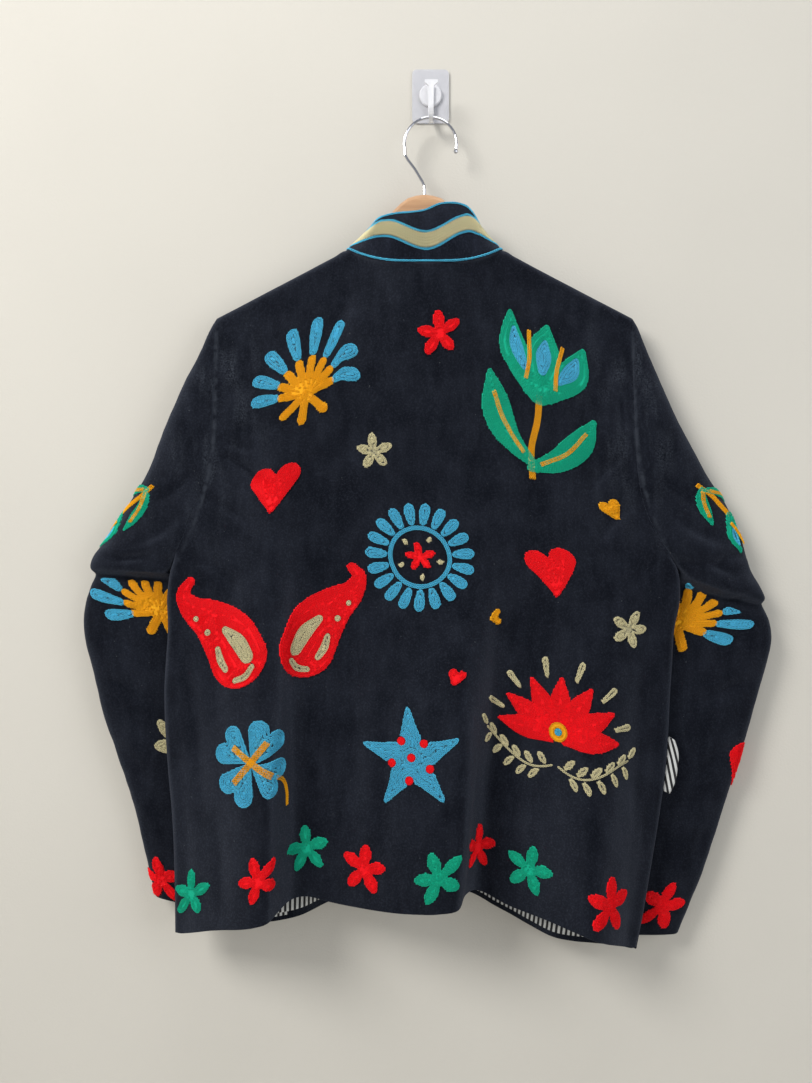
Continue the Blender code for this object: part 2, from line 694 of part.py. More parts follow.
def pocket_bag(material):
    """The edge of the pocket bag that peeps out of the right side seam."""
    rows, columns = 7, 6
    first, last = POCKET_ENDS
    points = np.zeros((rows, columns, 3))
    for i in range(rows):
        t = i / (rows - 1)
        z = POCKET["top"] + (POCKET["foot"] - POCKET["top"]) * t
        swell = POCKET["reach"] * math.sin(math.pi * (first + (last - first) * t)) ** POCKET_ROUND
        for j in range(columns):
            v = j / (columns - 1)
            out = math.sin(math.pi * v)
            x = side("right", z) + (WALL + LINING) / 2 + SEAM - POCKET["tuck"]
            x += swell * out**POCKET_SQUARE
            apart = POCKET["mouth"] + POCKET["half"] * abs(math.sin(2 * math.pi * v))
            y = side("middle", z) + math.copysign(apart, v - 0.5)
            points[i, j] = (x, y, z - POCKET["sag"] * out)
    normals = grid_normals(points)
    if normals[rows // 2, columns // 2, 0] < 0:
        normals = -normals
    return wall("pocket_lining", points, normals, LINING, material)


def rounded_section(half_y, top, bottom, radius, steps=3):
    """Points of an upright rounded rectangle, as (y, z), for a slice of the hanger."""
    middle, half_z = (top + bottom) / 2, (top - bottom) / 2
    radius = min(radius, half_y - 0.05, half_z - 0.05)
    points = []
    for quarter, (sy, sz) in enumerate(((1, 1), (-1, 1), (-1, -1), (1, -1))):
        for i in range(steps + 1):
            angle = math.pi / 2 * (quarter + i / steps)
            y = sy * (half_y - radius) + radius * math.cos(angle)
            points.append((y, middle + sz * (half_z - radius) + radius * math.sin(angle)))
    return points


def tube(name, sections, material, sharp=math.radians(40)):
    """A closed solid through rings of points, with its two ends filled."""
    mesh = bmesh.new()
    rings = [[mesh.verts.new(np.array(p) * METRES) for p in ring] for ring in sections]
    count = len(rings[0])
    for a, b in zip(rings, rings[1:]):
        for j in range(count):
            k = (j + 1) % count
            mesh.faces.new((a[j], a[k], b[k], b[j]))
    mesh.faces.new(rings[0][::-1])
    mesh.faces.new(rings[-1])
    return finish_mesh(name, mesh, material, sharp)


def hanger_body(material):
    """Flat wooden hanger: slices along its arms, rounded at the edges and the ends."""
    places = column(WOOD, WOOD_COLUMNS, "d")
    tops, bottoms = column(WOOD, WOOD_COLUMNS, "top"), column(WOOD, WOOD_COLUMNS, "bottom")
    stations = [0, 9, 18, 26, 35, 44, 53, 66, 86, 118, 150, 178, 200]
    ends = ((207, 0.93), (213, 0.75), (217, 0.5), (HANGER_END, 0.2))
    sections = []
    for d in [-d for d in stations[:0:-1]] + stations:
        top, bottom = smooth(places, tops, abs(d)), smooth(places, bottoms, abs(d))
        if abs(d) > NECK_HALF:
            top = min(top, shoulder_z(MIDDLE + d) - WOOD_BELOW)
        sections.append((d, top, bottom, HANGER_HALF))
    last_top, last_bottom = tops[-1], bottoms[-1]
    slope = (tops[-1] - tops[-2]) / (places[-1] - places[-2])
    for d, share in ends:
        middle = (last_top + last_bottom) / 2 + slope * (d - places[-1])
        half = (last_top - last_bottom) / 2 * share
        thick = HANGER_HALF * (0.55 + 0.45 * share)
        sections.append((d, middle + half, middle - half, thick))
        sections.insert(0, (-d, middle + half, middle - half, thick))
    rings = []
    for d, top, bottom, half_y in sections:
        ring = rounded_section(half_y, top, bottom, WOOD_ROUND)
        rings.append([(MIDDLE + d, HANGER_Y + y, z) for y, z in ring])
    return tube("hanger_body", rings, material)


def round_ring(centre, direction, radius, count=8):
    """Points of a circle about a path in the plane of the hanger."""
    dx, dz = direction
    ring = []
    for i in range(count):
        angle = 2 * math.pi * i / count
        out = radius * math.cos(angle)
        y = HANGER_Y + radius * math.sin(angle)
        ring.append((centre[0] + out * dz, y, centre[1] - out * dx))
    return ring


def wire_path():
    """Middle line of the wire hook, from its stem to its tip, as (x, z)."""
    cx, cz = HOOK_CENTRE
    stem = [(WIRE_X, WOOD["neck_top"][1] + SEAM), (WIRE_X, -110.0), (WIRE_X - 0.4, -105.5)]
    bend = [(WIRE_X - 2.6, -100.6), (-17.5, -87.5), (-25.0, -77.6), (-27.9, -72.6)]
    arc = []
    for i in range(21):
        angle = math.radians(192 - 204 * i / 20)
        arc.append((cx + HOOK_RADIUS * math.cos(angle), cz + HOOK_RADIUS * math.sin(angle)))
    return stem + bend + arc


def hanger_hook(material):
    """Chromed wire hook with its ball tip."""
    path = np.array(wire_path())
    directions = np.gradient(path, axis=0)
    directions /= np.linalg.norm(directions, axis=1, keepdims=True)
    rings = [round_ring(p, d, WIRE_RADIUS) for p, d in zip(path, directions)]
    tip, ahead = path[-1], directions[-1]
    for turn in (-50, -25, 0, 25, 50, 75):
        angle = math.radians(turn)
        centre = tip + ahead * WIRE_BALL * (1 + math.sin(angle))
        rings.append(round_ring(centre, ahead, WIRE_BALL * math.cos(angle)))
    return tube("hanger_hook", rings, material)


def plate_outline(width, height, corner, steps=4):
    """A rectangle with round corners, as (x, z)."""
    points = []
    for quarter, (sx, sz) in enumerate(((1, 1), (-1, 1), (-1, -1), (1, -1))):
        for i in range(steps + 1):
            angle = math.pi / 2 * (quarter + i / steps)
            x = sx * (width / 2 - corner) + corner * math.cos(angle)
            points.append((x, sz * (height / 2 - corner) + corner * math.sin(angle)))
    return points


def wall_plate(material):
    """Clear stick-on plate, its back face on the wall."""
    outline = plate_outline(*PLATE_SIZE, PLATE_CORNER)
    rings = [[(x, y, z) for x, z in outline] for y in (0.0, -PLATE_THICKNESS)]
    return tube("wall_plate", rings, material)


def wall_disc(material):
    """Round boss that carries the hook, with a softened rim."""
    start = PLATE_THICKNESS + SEAM
    soft = 1.0
    profile = ((0, DISC_RADIUS), (DISC_THICKNESS - soft, DISC_RADIUS), (DISC_THICKNESS, DISC_RADIUS - soft))
    sides = 28
    rings = []
    for depth, radius in profile:
        ring = []
        for i in range(sides):
            angle = 2 * math.pi * i / sides
            ring.append((radius * math.cos(angle), -start - depth, radius * math.sin(angle)))
        rings.append(ring)
    return tube("wall_disc", rings, material)


def wall_hook(material):
    """Clear J hook: a strip down the boss, round under the wire and up to a wide end."""
    root_y = -(PLATE_THICKNESS + DISC_THICKNESS + 2 * SEAM + CLIP_THICKNESS / 2)
    wire_z = HOOK_CENTRE[1] + HOOK_RADIUS - WIRE_RADIUS
    low = wire_z - SEAM - CLIP_THICKNESS / 2
    reach = CLIP_REACH + CLIP_THICKNESS / 2
    back_reach = root_y - HANGER_Y
    turn_z = low + reach
    path = [(root_y, 9.0, CLIP_WIDTH + 3), (root_y, 0.0, CLIP_WIDTH + 2), (root_y, turn_z, CLIP_WIDTH)]
    for i in range(1, 13):
        angle = math.pi * i / 12
        span = back_reach if angle < math.pi / 2 else reach
        path.append((HANGER_Y + span * math.cos(angle), turn_z - reach * math.sin(angle), CLIP_WIDTH))
    lip = HANGER_Y - reach
    path += [(lip, -8.0, CLIP_WIDTH - 0.5), (lip, -3.0, CLIP_WIDTH + 1)]
    path += [(lip, 0.5, CLIP_TEE), (lip, 3.5, CLIP_TEE)]
    line = np.array([(y, z) for y, z, _ in path])
    ahead = np.gradient(line, axis=0)
    ahead /= np.linalg.norm(ahead, axis=1, keepdims=True)
    rings = []
    for (y, z, width), (dy, dz) in zip(path, ahead):
        ring = []
        for sx, st in ((1, 1), (1, -1), (-1, -1), (-1, 1)):
            thick = st * CLIP_THICKNESS / 2
            ring.append((sx * width / 2, y + dz * thick, z - dy * thick))
        rings.append(ring)
    return tube("wall_hook", rings, material)


def materials():
    """One plain finish for each kind of surface."""
    made = {}
    for name, (red, green, blue, roughness, metallic) in COLOURS.items():
        material = bpy.data.materials.new(name)
        material.use_nodes = True
        shader = material.node_tree.nodes["Principled BSDF"]
        shader.inputs["Base Color"].default_value = (red, green, blue, 1)
        shader.inputs["Roughness"].default_value = roughness
        shader.inputs["Metallic"].default_value = metallic
        made[name] = material
    return made


def main():
    """Build every piece of the jacket and what holds it up."""
    for item in list(bpy.data.objects):
        bpy.data.objects.remove(item)
    finish = materials()
    back = panel_grid("back")
    front_left = panel_grid("front_left")
    front_right = panel_grid("front_right")
    wall("back", *back, WALL, finish["velvet"])
    wall("front_left", *front_left, WALL, finish["velvet"])
    wall("front_right", *front_right, WALL, finish["velvet"])
    left = sleeve_grid(UPPER_LEFT, LOWER_LEFT, -1, back, front_left)
    right = sleeve_grid(UPPER_RIGHT, LOWER_RIGHT, 1, back, front_right)
    wall("sleeve_left", *left, WALL, finish["velvet"], closed_from=len(UPPER_LEFT))
    wall("sleeve_right", *right, WALL, finish["velvet"], closed_from=len(UPPER_RIGHT))
    wall("collar", *collar_grid(back, front_left, front_right), WALL, finish["collar_velvet"])
    hem_band(front_left, finish["striped_cotton"], "lining_front_left")
    hem_band(front_right, finish["striped_cotton"], "lining_front_right")
    pocket_bag(finish["striped_cotton"])
    hanger_body(finish["wood"])
    hanger_hook(finish["chrome"])
    wall_plate(finish["clear"])
    wall_disc(finish["clear"])
    wall_hook(finish["clear"])


main()
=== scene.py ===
"""Looks of an embroidered velvet jacket that hangs, back to the viewer, on a wall hook.

Frame: +Z is up, the wall is the plane y = 0, and the jacket hangs on its -Y side. Sizes
and tables are in millimetres, and each mesh is scaled to metres when it is made. Left and
right are the wearer's: the wearer's left is at -X.
"""

from __future__ import annotations

import logging
import math
from dataclasses import dataclass, field, replace
from enum import Enum
from typing import Callable, Sequence

import bmesh
import bpy
import numpy as np
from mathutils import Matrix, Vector

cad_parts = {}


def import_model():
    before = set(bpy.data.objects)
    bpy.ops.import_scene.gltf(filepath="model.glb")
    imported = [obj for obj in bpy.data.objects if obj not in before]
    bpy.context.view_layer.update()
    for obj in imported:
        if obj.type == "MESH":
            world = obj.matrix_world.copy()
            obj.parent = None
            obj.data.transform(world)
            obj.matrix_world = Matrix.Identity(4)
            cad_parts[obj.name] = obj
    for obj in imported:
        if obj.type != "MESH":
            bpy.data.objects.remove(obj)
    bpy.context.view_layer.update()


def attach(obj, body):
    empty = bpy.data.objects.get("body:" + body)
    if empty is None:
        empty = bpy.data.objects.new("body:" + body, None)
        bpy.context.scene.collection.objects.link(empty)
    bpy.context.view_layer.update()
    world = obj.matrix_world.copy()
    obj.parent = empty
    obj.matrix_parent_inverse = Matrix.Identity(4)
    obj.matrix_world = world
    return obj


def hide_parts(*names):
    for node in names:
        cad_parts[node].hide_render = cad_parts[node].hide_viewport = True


LOG = logging.getLogger("jacket")
METRES = 0.001
BODY = "root"
Triple = tuple[float, float, float]
Material = bpy.types.Material

# A smooth curve holds back where it turns past this cosine, by this share
CORNER_COSINE = 0.3
CORNER_SLOPE = 0.1

# Cloth grids: rim's height, rows that keep their edge's facing, bare margin, least step
RIM_SOFTNESS = 0.5
EDGE_BLEND = 3
EDGE_MARGIN = 1
SHORTEST_STEP = 0.3

# Least share of a normal that faces a side, step of a stem's line, and a distance past all
FACING = 0.05
LINE_STEP = 1.5
FAR = 1e3

# Side outline: height, the two visible edges, the middle of the edge and half its opening
SIDE_COLUMNS = ("z", "left", "right", "middle", "half")
SIDE = {
    "tip": (-250, -230, 216, -21.0, 7.5),
    "hanger_end": (-288, -230.5, 215.7, -21.2, 7.7),
    "upper_armhole": (-330, -231, 215.5, -25.0, 8.2),
    "chest": (-385, -233.5, 216.3, -30.0, 8.2),
    "low_armhole": (-425, -241, 219.0, -33.0, 8.0),
    "armhole_turn": (-457, -252, 226.0, -36.0, 7.5),
    "armhole_foot": (-486, -262.5, 239.5, -38.0, 7.0),
    "underarm": (-516, -275, 259, -40.0, 6.0),
    "ribs": (-588, -278.5, 256, -40.5, 5.5),
    "waist": (-648, -282, 252, -41.0, 5.5),
    "pocket": (-724, -278.5, 247.5, -41.5, 6.0),
    "hip": (-786, -273, 239, -42.5, 6.5),
    "low_hip": (-833, -271, 231, -43.5, 7.0),
    "hem": (-903, -269.5, 218.5, -45.0, 8.0),
    "corner": (-921, -269.5, 215.0, -45.0, 8.0),
}

# Hem line: place across, height of the back's hem and of the fronts' hem
HEM_COLUMNS = ("x", "back", "front")
HEM = {
    "left_corner": (-270, -903, -903),
    "left_pipe": (-226, -887, -900),
    "left_crest": (-180, -873, -895),
    "left_valley": (-142, -858.5, -889),
    "left_middle": (-100, -863, -878),
    "middle": (-30, -865, -866),
    "centre_pipe": (12, -860, -866),
    "right_valley": (36, -852.5, -870),
    "right_middle": (80, -869, -893),
    "right_pipe": (130, -881.5, -911),
    "right_crest": (178, -898, -917),
    "right_corner": (215, -920, -920),
}

# Hanging folds: where the crest runs, its two widths, its depth and how far it leans over
PIPE_COLUMNS = ("top", "foot", "start", "full", "left", "right", "depth", "lean")
BACK_PIPES = {
    "left": (-168, -178, -370, -820, 64, 25, 42, 9),
    "centre": (60, 3, -400, -830, 112, 25, 50, 13),
    "right": (196, 160, -430, -860, 70, 38, 36, 0),
    "left_shoulder": (-150, -196, -215, -330, 26, 34, 5, 2),
    "right_shoulder": (128, 176, -215, -330, 34, 26, 5, -2),
}
FRONT_PIPES = {
    "left": (-88, -70, -420, -820, 30, 26, 5, 0),
    "right": (70, 58, -420, -820, 26, 30, 5, 0),
}

# Upper sleeve, a row for each step down the armhole: the outer fold's place and depth,
# and how far the cloth bulges towards the viewer and the wall
UPPER_COLUMNS = ("ox", "oz", "oy", "view", "wall")
UPPER_LEFT = {
    "tip_1": (-236, -260, -21.3, 0, 0),
    "tip_2": (-242, -272, -21.6, 0, 0),
    "cap_1": (-250, -290, -22, 1, 1),
    "cap_2": (-266, -321.7, -22.5, 3, 3),
    "cap_3": (-280, -353.7, -22.5, 4, 7),
    "arm_1": (-293, -386.7, -22.5, 3, 9),
    "arm_2": (-306.5, -420.7, -22.5, 2, 10),
    "arm_3": (-327, -453.7, -22, 1, 10),
    "arm_4": (-344.5, -481.7, -22, 1, 11),
    "arm_5": (-357, -499, -22, 2, 11),
    "bag": (-362.5, -506, -22, 3, 11),
    "bag_foot": (-365, -512, -22, 5, 12),
}
UPPER_RIGHT = {
    "tip_1": (222, -260, -21.3, 0, 0),
    "tip_2": (227, -272, -21.6, 0, 0),
    "cap_1": (234.5, -290, -22, 1, 1),
    "cap_2": (247, -321.7, -22.5, 3, 3),
    "cap_3": (261, -353.7, -22.5, 4, 7),
    "arm_1": (279, -387, -22.5, 3, 9),
    "arm_2": (297, -421, -22.5, 2, 10),
    "arm_3": (318.5, -454, -22, 1, 10),
    "arm_4": (331.5, -483, -22, 1, 11),
    "arm_5": (339, -506, -22, 2, 11),
    "bag": (345, -524, -22, 3, 11),
    "bag_foot": (353, -538, -22, 5, 12),
}

# Elbow and lower sleeve, a row for each ring: outer and inner fold, the two bulges, and
# how far the ring's near side hangs below the line between its folds
LOWER_COLUMNS = ("ox", "oz", "oy", "ix", "iz", "iy", "view", "wall", "sag")
LOWER_LEFT = {
    "elbow": (-365.5, -517.5, -23, -280.5, -522, -36, 12, 10, 1),
    "tuck": (-361.5, -526, -20, -271, -531, -25.5, 6, 10, -1),
    "fore_1": (-367, -539, -20, -262, -542, -21.5, 9, 11, 0),
    "fore_2": (-374.5, -568, -19, -233, -570, -17.5, 13, 12, 0),
    "fore_3": (-373.5, -592, -19, -217, -602, -16, 14, 12, 0),
    "fore_4": (-365, -630, -18, -204, -645, -16, 14, 12, 0),
    "fore_5": (-355, -673, -18, -196, -693, -16, 14, 12, 0),
    "fore_6": (-338, -723, -18, -188, -745, -16, 13, 12, 0),
    "fore_7": (-322, -772, -17, -180, -797, -16, 12, 11, 0),
    "fore_8": (-309, -826, -17, -171, -850, -16, 12, 11, 0),
    "cuff": (-298, -872, -17, -163, -892, -16, 12, 11, 2),
}
LOWER_RIGHT = {
    "elbow": (358.5, -550, -23, 264.5, -522, -36, 12, 10, 5),
    "tuck": (356.5, -558, -20, 255, -531, -25.5, 6, 10, 3),
    "fore_1": (363, -572, -20, 246, -545, -21.5, 9, 11, 1),
    "fore_2": (367.5, -596, -19, 217, -576, -17.5, 13, 12, 0),
    "fore_3": (363.5, -619, -19, 201, -608, -16, 14, 12, 0),
    "fore_4": (355, -648, -18, 189, -648, -16, 14, 12, 0),
    "fore_5": (345, -684, -18, 181, -692, -16, 14, 12, 0),
    "fore_6": (331, -730, -18, 171, -742, -16, 13, 12, 0),
    "fore_7": (314, -785, -17, 160, -798, -16, 12, 11, 0),
    "fore_8": (293, -848, -17, 146, -856, -16, 12, 11, 0),
    "cuff": (267, -912, -17, 130, -905, -16, 12, 11, 2),
}

# Collar's top edge. Round runs from the left centre front at -2, by the left shoulder
# seam at -1 and the middle of the nape at 0, to the right centre front at 2
COLLAR_COLUMNS = ("round", "x", "y", "z", "bulge")
COLLAR_TOP = {
    "front_left": (-1.93, -13.5, -11.2, -210, 0),
    "fold_left": (-1.45, -46, -11.2, -186, 1),
    "behind_left": (-1.09, -66.5, -12.4, -161, 0),
    "side_left": (-1.0, -65.5, -21, -155, 1),
    "turn_left": (-0.857, -58, -32, -147.5, 2),
    "back_left": (-0.5, -40, -36, -141, 3),
    "left_dip": (-0.25, -25, -38, -140, 4),
    "middle": (0.0, -8, -39, -138, 4),
    "right_rise": (0.25, 12, -39, -130.5, 4),
    "back_right": (0.5, 32, -36, -131, 3),
    "turn_right": (0.857, 47, -32, -145.5, 2),
    "side_right": (1.0, 52.5, -21, -155, 1),
    "behind_right": (1.09, 52.5, -12.4, -161, 0),
    "fold_right": (1.45, 32, -11.2, -186, 1),
    "front_right": (1.93, -0.5, -11.2, -210, 0),
}

# Creases: the two ends, half width, depth inwards, sideways bow, and the side they show on
CREASE_COLUMNS = ("x0", "z0", "x1", "z1", "width", "depth", "bow")
BACK_CREASES = {
    "nape_left": (-84, -205, -128, -300, 9, 1.6, 8),
    "nape_right": (70, -205, 112, -292, 10, 1.4, -7),
    "left_armhole": (-228, -396, -164, -448, 7, 2.8, 7),
    "left_arch": (-232, -372, -180, -392, 6, 2.0, -7),
    "left_armhole_2": (-240, -446, -180, -484, 7, 2.4, 6),
    "left_underarm": (-262, -505, -198, -545, 10, 2.2, 8),
    "right_armhole": (210, -396, 160, -452, 7, 2.6, -7),
    "right_pull": (192, -300, 204, -398, 7, 2.2, 5),
    "right_armhole_2": (222, -446, 170, -500, 7, 2.4, -7),
    "right_underarm": (246, -512, 186, -560, 10, 2.0, -8),
    "left_side": (-262, -600, -240, -800, 11, 1.6, 6),
    "left_drag": (-206, -520, -222, -680, 13, 1.8, -7),
    "left_hem": (-226, -760, -214, -880, 10, 1.5, 4),
    "middle_left": (-96, -560, -84, -800, 16, 1.8, 8),
    "middle": (-38, -600, -46, -845, 14, 1.5, -6),
    "centre_hem": (-64, -790, -58, -868, 8, 1.2, 3),
    "right_drag": (96, -470, 78, -640, 12, 2.0, 6),
    "right_middle": (98, -640, 92, -850, 13, 1.6, -5),
    "right_side": (226, -590, 214, -800, 11, 1.6, -6),
    "right_hem": (178, -800, 172, -905, 9, 1.4, 3),
    "shoulder_left": (-196, -262, -118, -232, 8, 1.0, 4),
    "shoulder_right": (182, -262, 106, -232, 8, 1.0, -4),
}
SLEEVE_LEFT_VIEW = {
    "cap": (-236, -330, -262, -410, 8, 1.4, 6),
    "cap_low": (-246, -400, -300, -452, 9, 1.8, 7),
    "arm": (-258, -455, -330, -500, 8, 2.2, 6),
    "arm_low": (-276, -494, -352, -513, 6, 2.0, 3),
    "elbow_1": (-356, -566, -290, -556, 6, 1.8, -3),
    "elbow_2": (-366, -592, -300, -610, 8, 2.0, 5),
    "fore_1": (-360, -636, -300, -668, 9, 1.6, 6),
    "fore_2": (-346, -700, -302, -760, 9, 1.4, 5),
    "fore_3": (-322, -770, -296, -838, 8, 1.2, 4),
}
SLEEVE_RIGHT_VIEW = {
    "cap": (222, -330, 246, -412, 8, 1.4, -6),
    "cap_low": (234, -402, 284, -452, 9, 1.8, -7),
    "arm": (246, -452, 316, -494, 8, 2.2, -6),
    "arm_low": (268, -492, 330, -528, 7, 2.0, -3),
    "elbow_1": (300, -512, 346, -503, 6, 2.6, 2),
    "elbow_2": (316, -556, 352, -548, 6, 2.2, 3),
    "fore_1": (350, -600, 290, -596, 8, 1.8, -4),
    "fore_2": (352, -640, 286, -668, 9, 1.8, -6),
    "fore_3": (338, -704, 280, -748, 9, 1.4, -5),
    "fore_4": (312, -778, 276, -850, 8, 1.2, -4),
}
SLEEVE_LEFT_WALL = {
    "cap": (-244, -322, -276, -410, 9, 1.8, 6),
    "arm": (-262, -450, -334, -488, 9, 2.4, 6),
    "elbow": (-350, -560, -280, -548, 7, 2.6, -4),
    "elbow_low": (-362, -596, -262, -618, 9, 2.2, 6),
    "fore": (-342, -660, -262, -728, 11, 1.8, 8),
    "wrist": (-308, -770, -214, -830, 10, 1.6, 7),
}
SLEEVE_RIGHT_WALL = {
    "cap": (230, -322, 258, -412, 9, 1.8, -6),
    "arm": (246, -448, 318, -490, 9, 2.4, -6),
    "elbow": (340, -584, 262, -562, 7, 2.6, 4),
    "elbow_low": (352, -620, 246, -628, 9, 2.2, -6),
    "fore": (334, -676, 246, -736, 11, 1.8, -8),
    "wrist": (300, -790, 196, -846, 10, 1.6, -7),
}
FRONT_CREASES = {
    "left_chest": (-206, -350, -140, -470, 12, 1.8, 8),
    "left_drag": (-150, -420, -116, -640, 13, 1.8, 7),
    "left_side": (-240, -560, -214, -780, 12, 1.6, 6),
    "left_hem": (-130, -720, -122, -880, 12, 1.6, 5),
    "right_chest": (190, -350, 124, -470, 12, 1.8, -8),
    "right_drag": (132, -420, 104, -640, 13, 1.8, -7),
    "right_side": (222, -560, 196, -780, 12, 1.6, -6),
    "right_hem": (112, -720, 106, -890, 12, 1.6, -5),
    "left_edge": (-34, -420, -30, -700, 10, 1.0, 4),
    "right_edge": (18, -450, 16, -720, 10, 1.0, -4),
}


def column(table: dict[str, tuple], names: Sequence[str], name: str) -> np.ndarray:
    """One named column of a table, as numbers."""
    return np.array([row[names.index(name)] for row in table.values()], float)


def named(row: tuple, names: Sequence[str]) -> dict[str, float]:
    """A table's row, by its column names."""
    return dict(zip(names, row))


def hermite(at: np.ndarray, values: np.ndarray, where: np.ndarray) -> np.ndarray:
    """Smooth curve through values at rising places, read elsewhere, but not past sharp corners.

    Args:
        at: the rising places of the values.
        values: one value, or row of values, for each place.
        where: the places to read, which are held inside the range.

    Returns:
        A value, or row of values, for each place in where.
    """
    slopes = np.gradient(values, at, axis=0)
    if np.ndim(values) > 1 and len(at) > 2:
        steps = unit(np.diff(values, axis=0))
        corner = np.sum(steps[1:] * steps[:-1], axis=-1) < CORNER_COSINE
        slopes[1:-1][corner] *= CORNER_SLOPE
    where = np.clip(where, at[0], at[-1])
    i = np.clip(np.searchsorted(at, where, side="right") - 1, 0, len(at) - 2)
    step = at[i + 1] - at[i]
    t = (where - at[i]) / step
    while np.ndim(t) and t.ndim < values[i].ndim:
        t, step = t[..., None], step[..., None]
    rise = values[i] * (2 * t**3 - 3 * t**2 + 1) + values[i + 1] * (3 * t**2 - 2 * t**3)
    turn = slopes[i] * (t**3 - 2 * t**2 + t) + slopes[i + 1] * (t**3 - t**2)
    return rise + step * turn


def ease(t: float | np.ndarray) -> float | np.ndarray:
    """0 below 0, 1 above 1, smooth between."""
    t = np.clip(t, 0.0, 1.0)
    return t * t * (3 - 2 * t)


def unit(vectors: np.ndarray) -> np.ndarray:
    """The same directions at length 1."""
    lengths = np.linalg.norm(vectors, axis=-1, keepdims=True)
    return vectors / np.maximum(lengths, 1e-9)


def run_along(points: np.ndarray) -> np.ndarray:
    """Distance along a line of points to each of them."""
    return np.concatenate(([0], np.cumsum(np.linalg.norm(np.diff(points, axis=0), axis=1))))


def cell_corners(i: int, j: int) -> list[tuple[int, int]]:
    """The four corners of a grid's cell, in turn."""
    return [(i, j), (i, j + 1), (i + 1, j + 1), (i + 1, j)]


def linked(name: str, data: bpy.types.ID) -> bpy.types.Object:
    """A new object of the scene."""
    item = bpy.data.objects.new(name, data)
    bpy.context.scene.collection.objects.link(item)
    return item


def grid_normals(points: np.ndarray, ring_from: int | None = None) -> np.ndarray:
    """Unit normals of a grid of points.

    Args:
        points: rows by columns by 3.
        ring_from: the first row whose last point is its first, or None.

    Returns:
        Normals of the same shape.
    """
    down = np.gradient(points, axis=0)
    along = np.gradient(points, axis=1)
    if ring_from is not None:
        turn = points[ring_from:, 1] - points[ring_from:, -2]
        along[ring_from:, 0] = along[ring_from:, -1] = turn / 2
    return unit(np.cross(down, along))


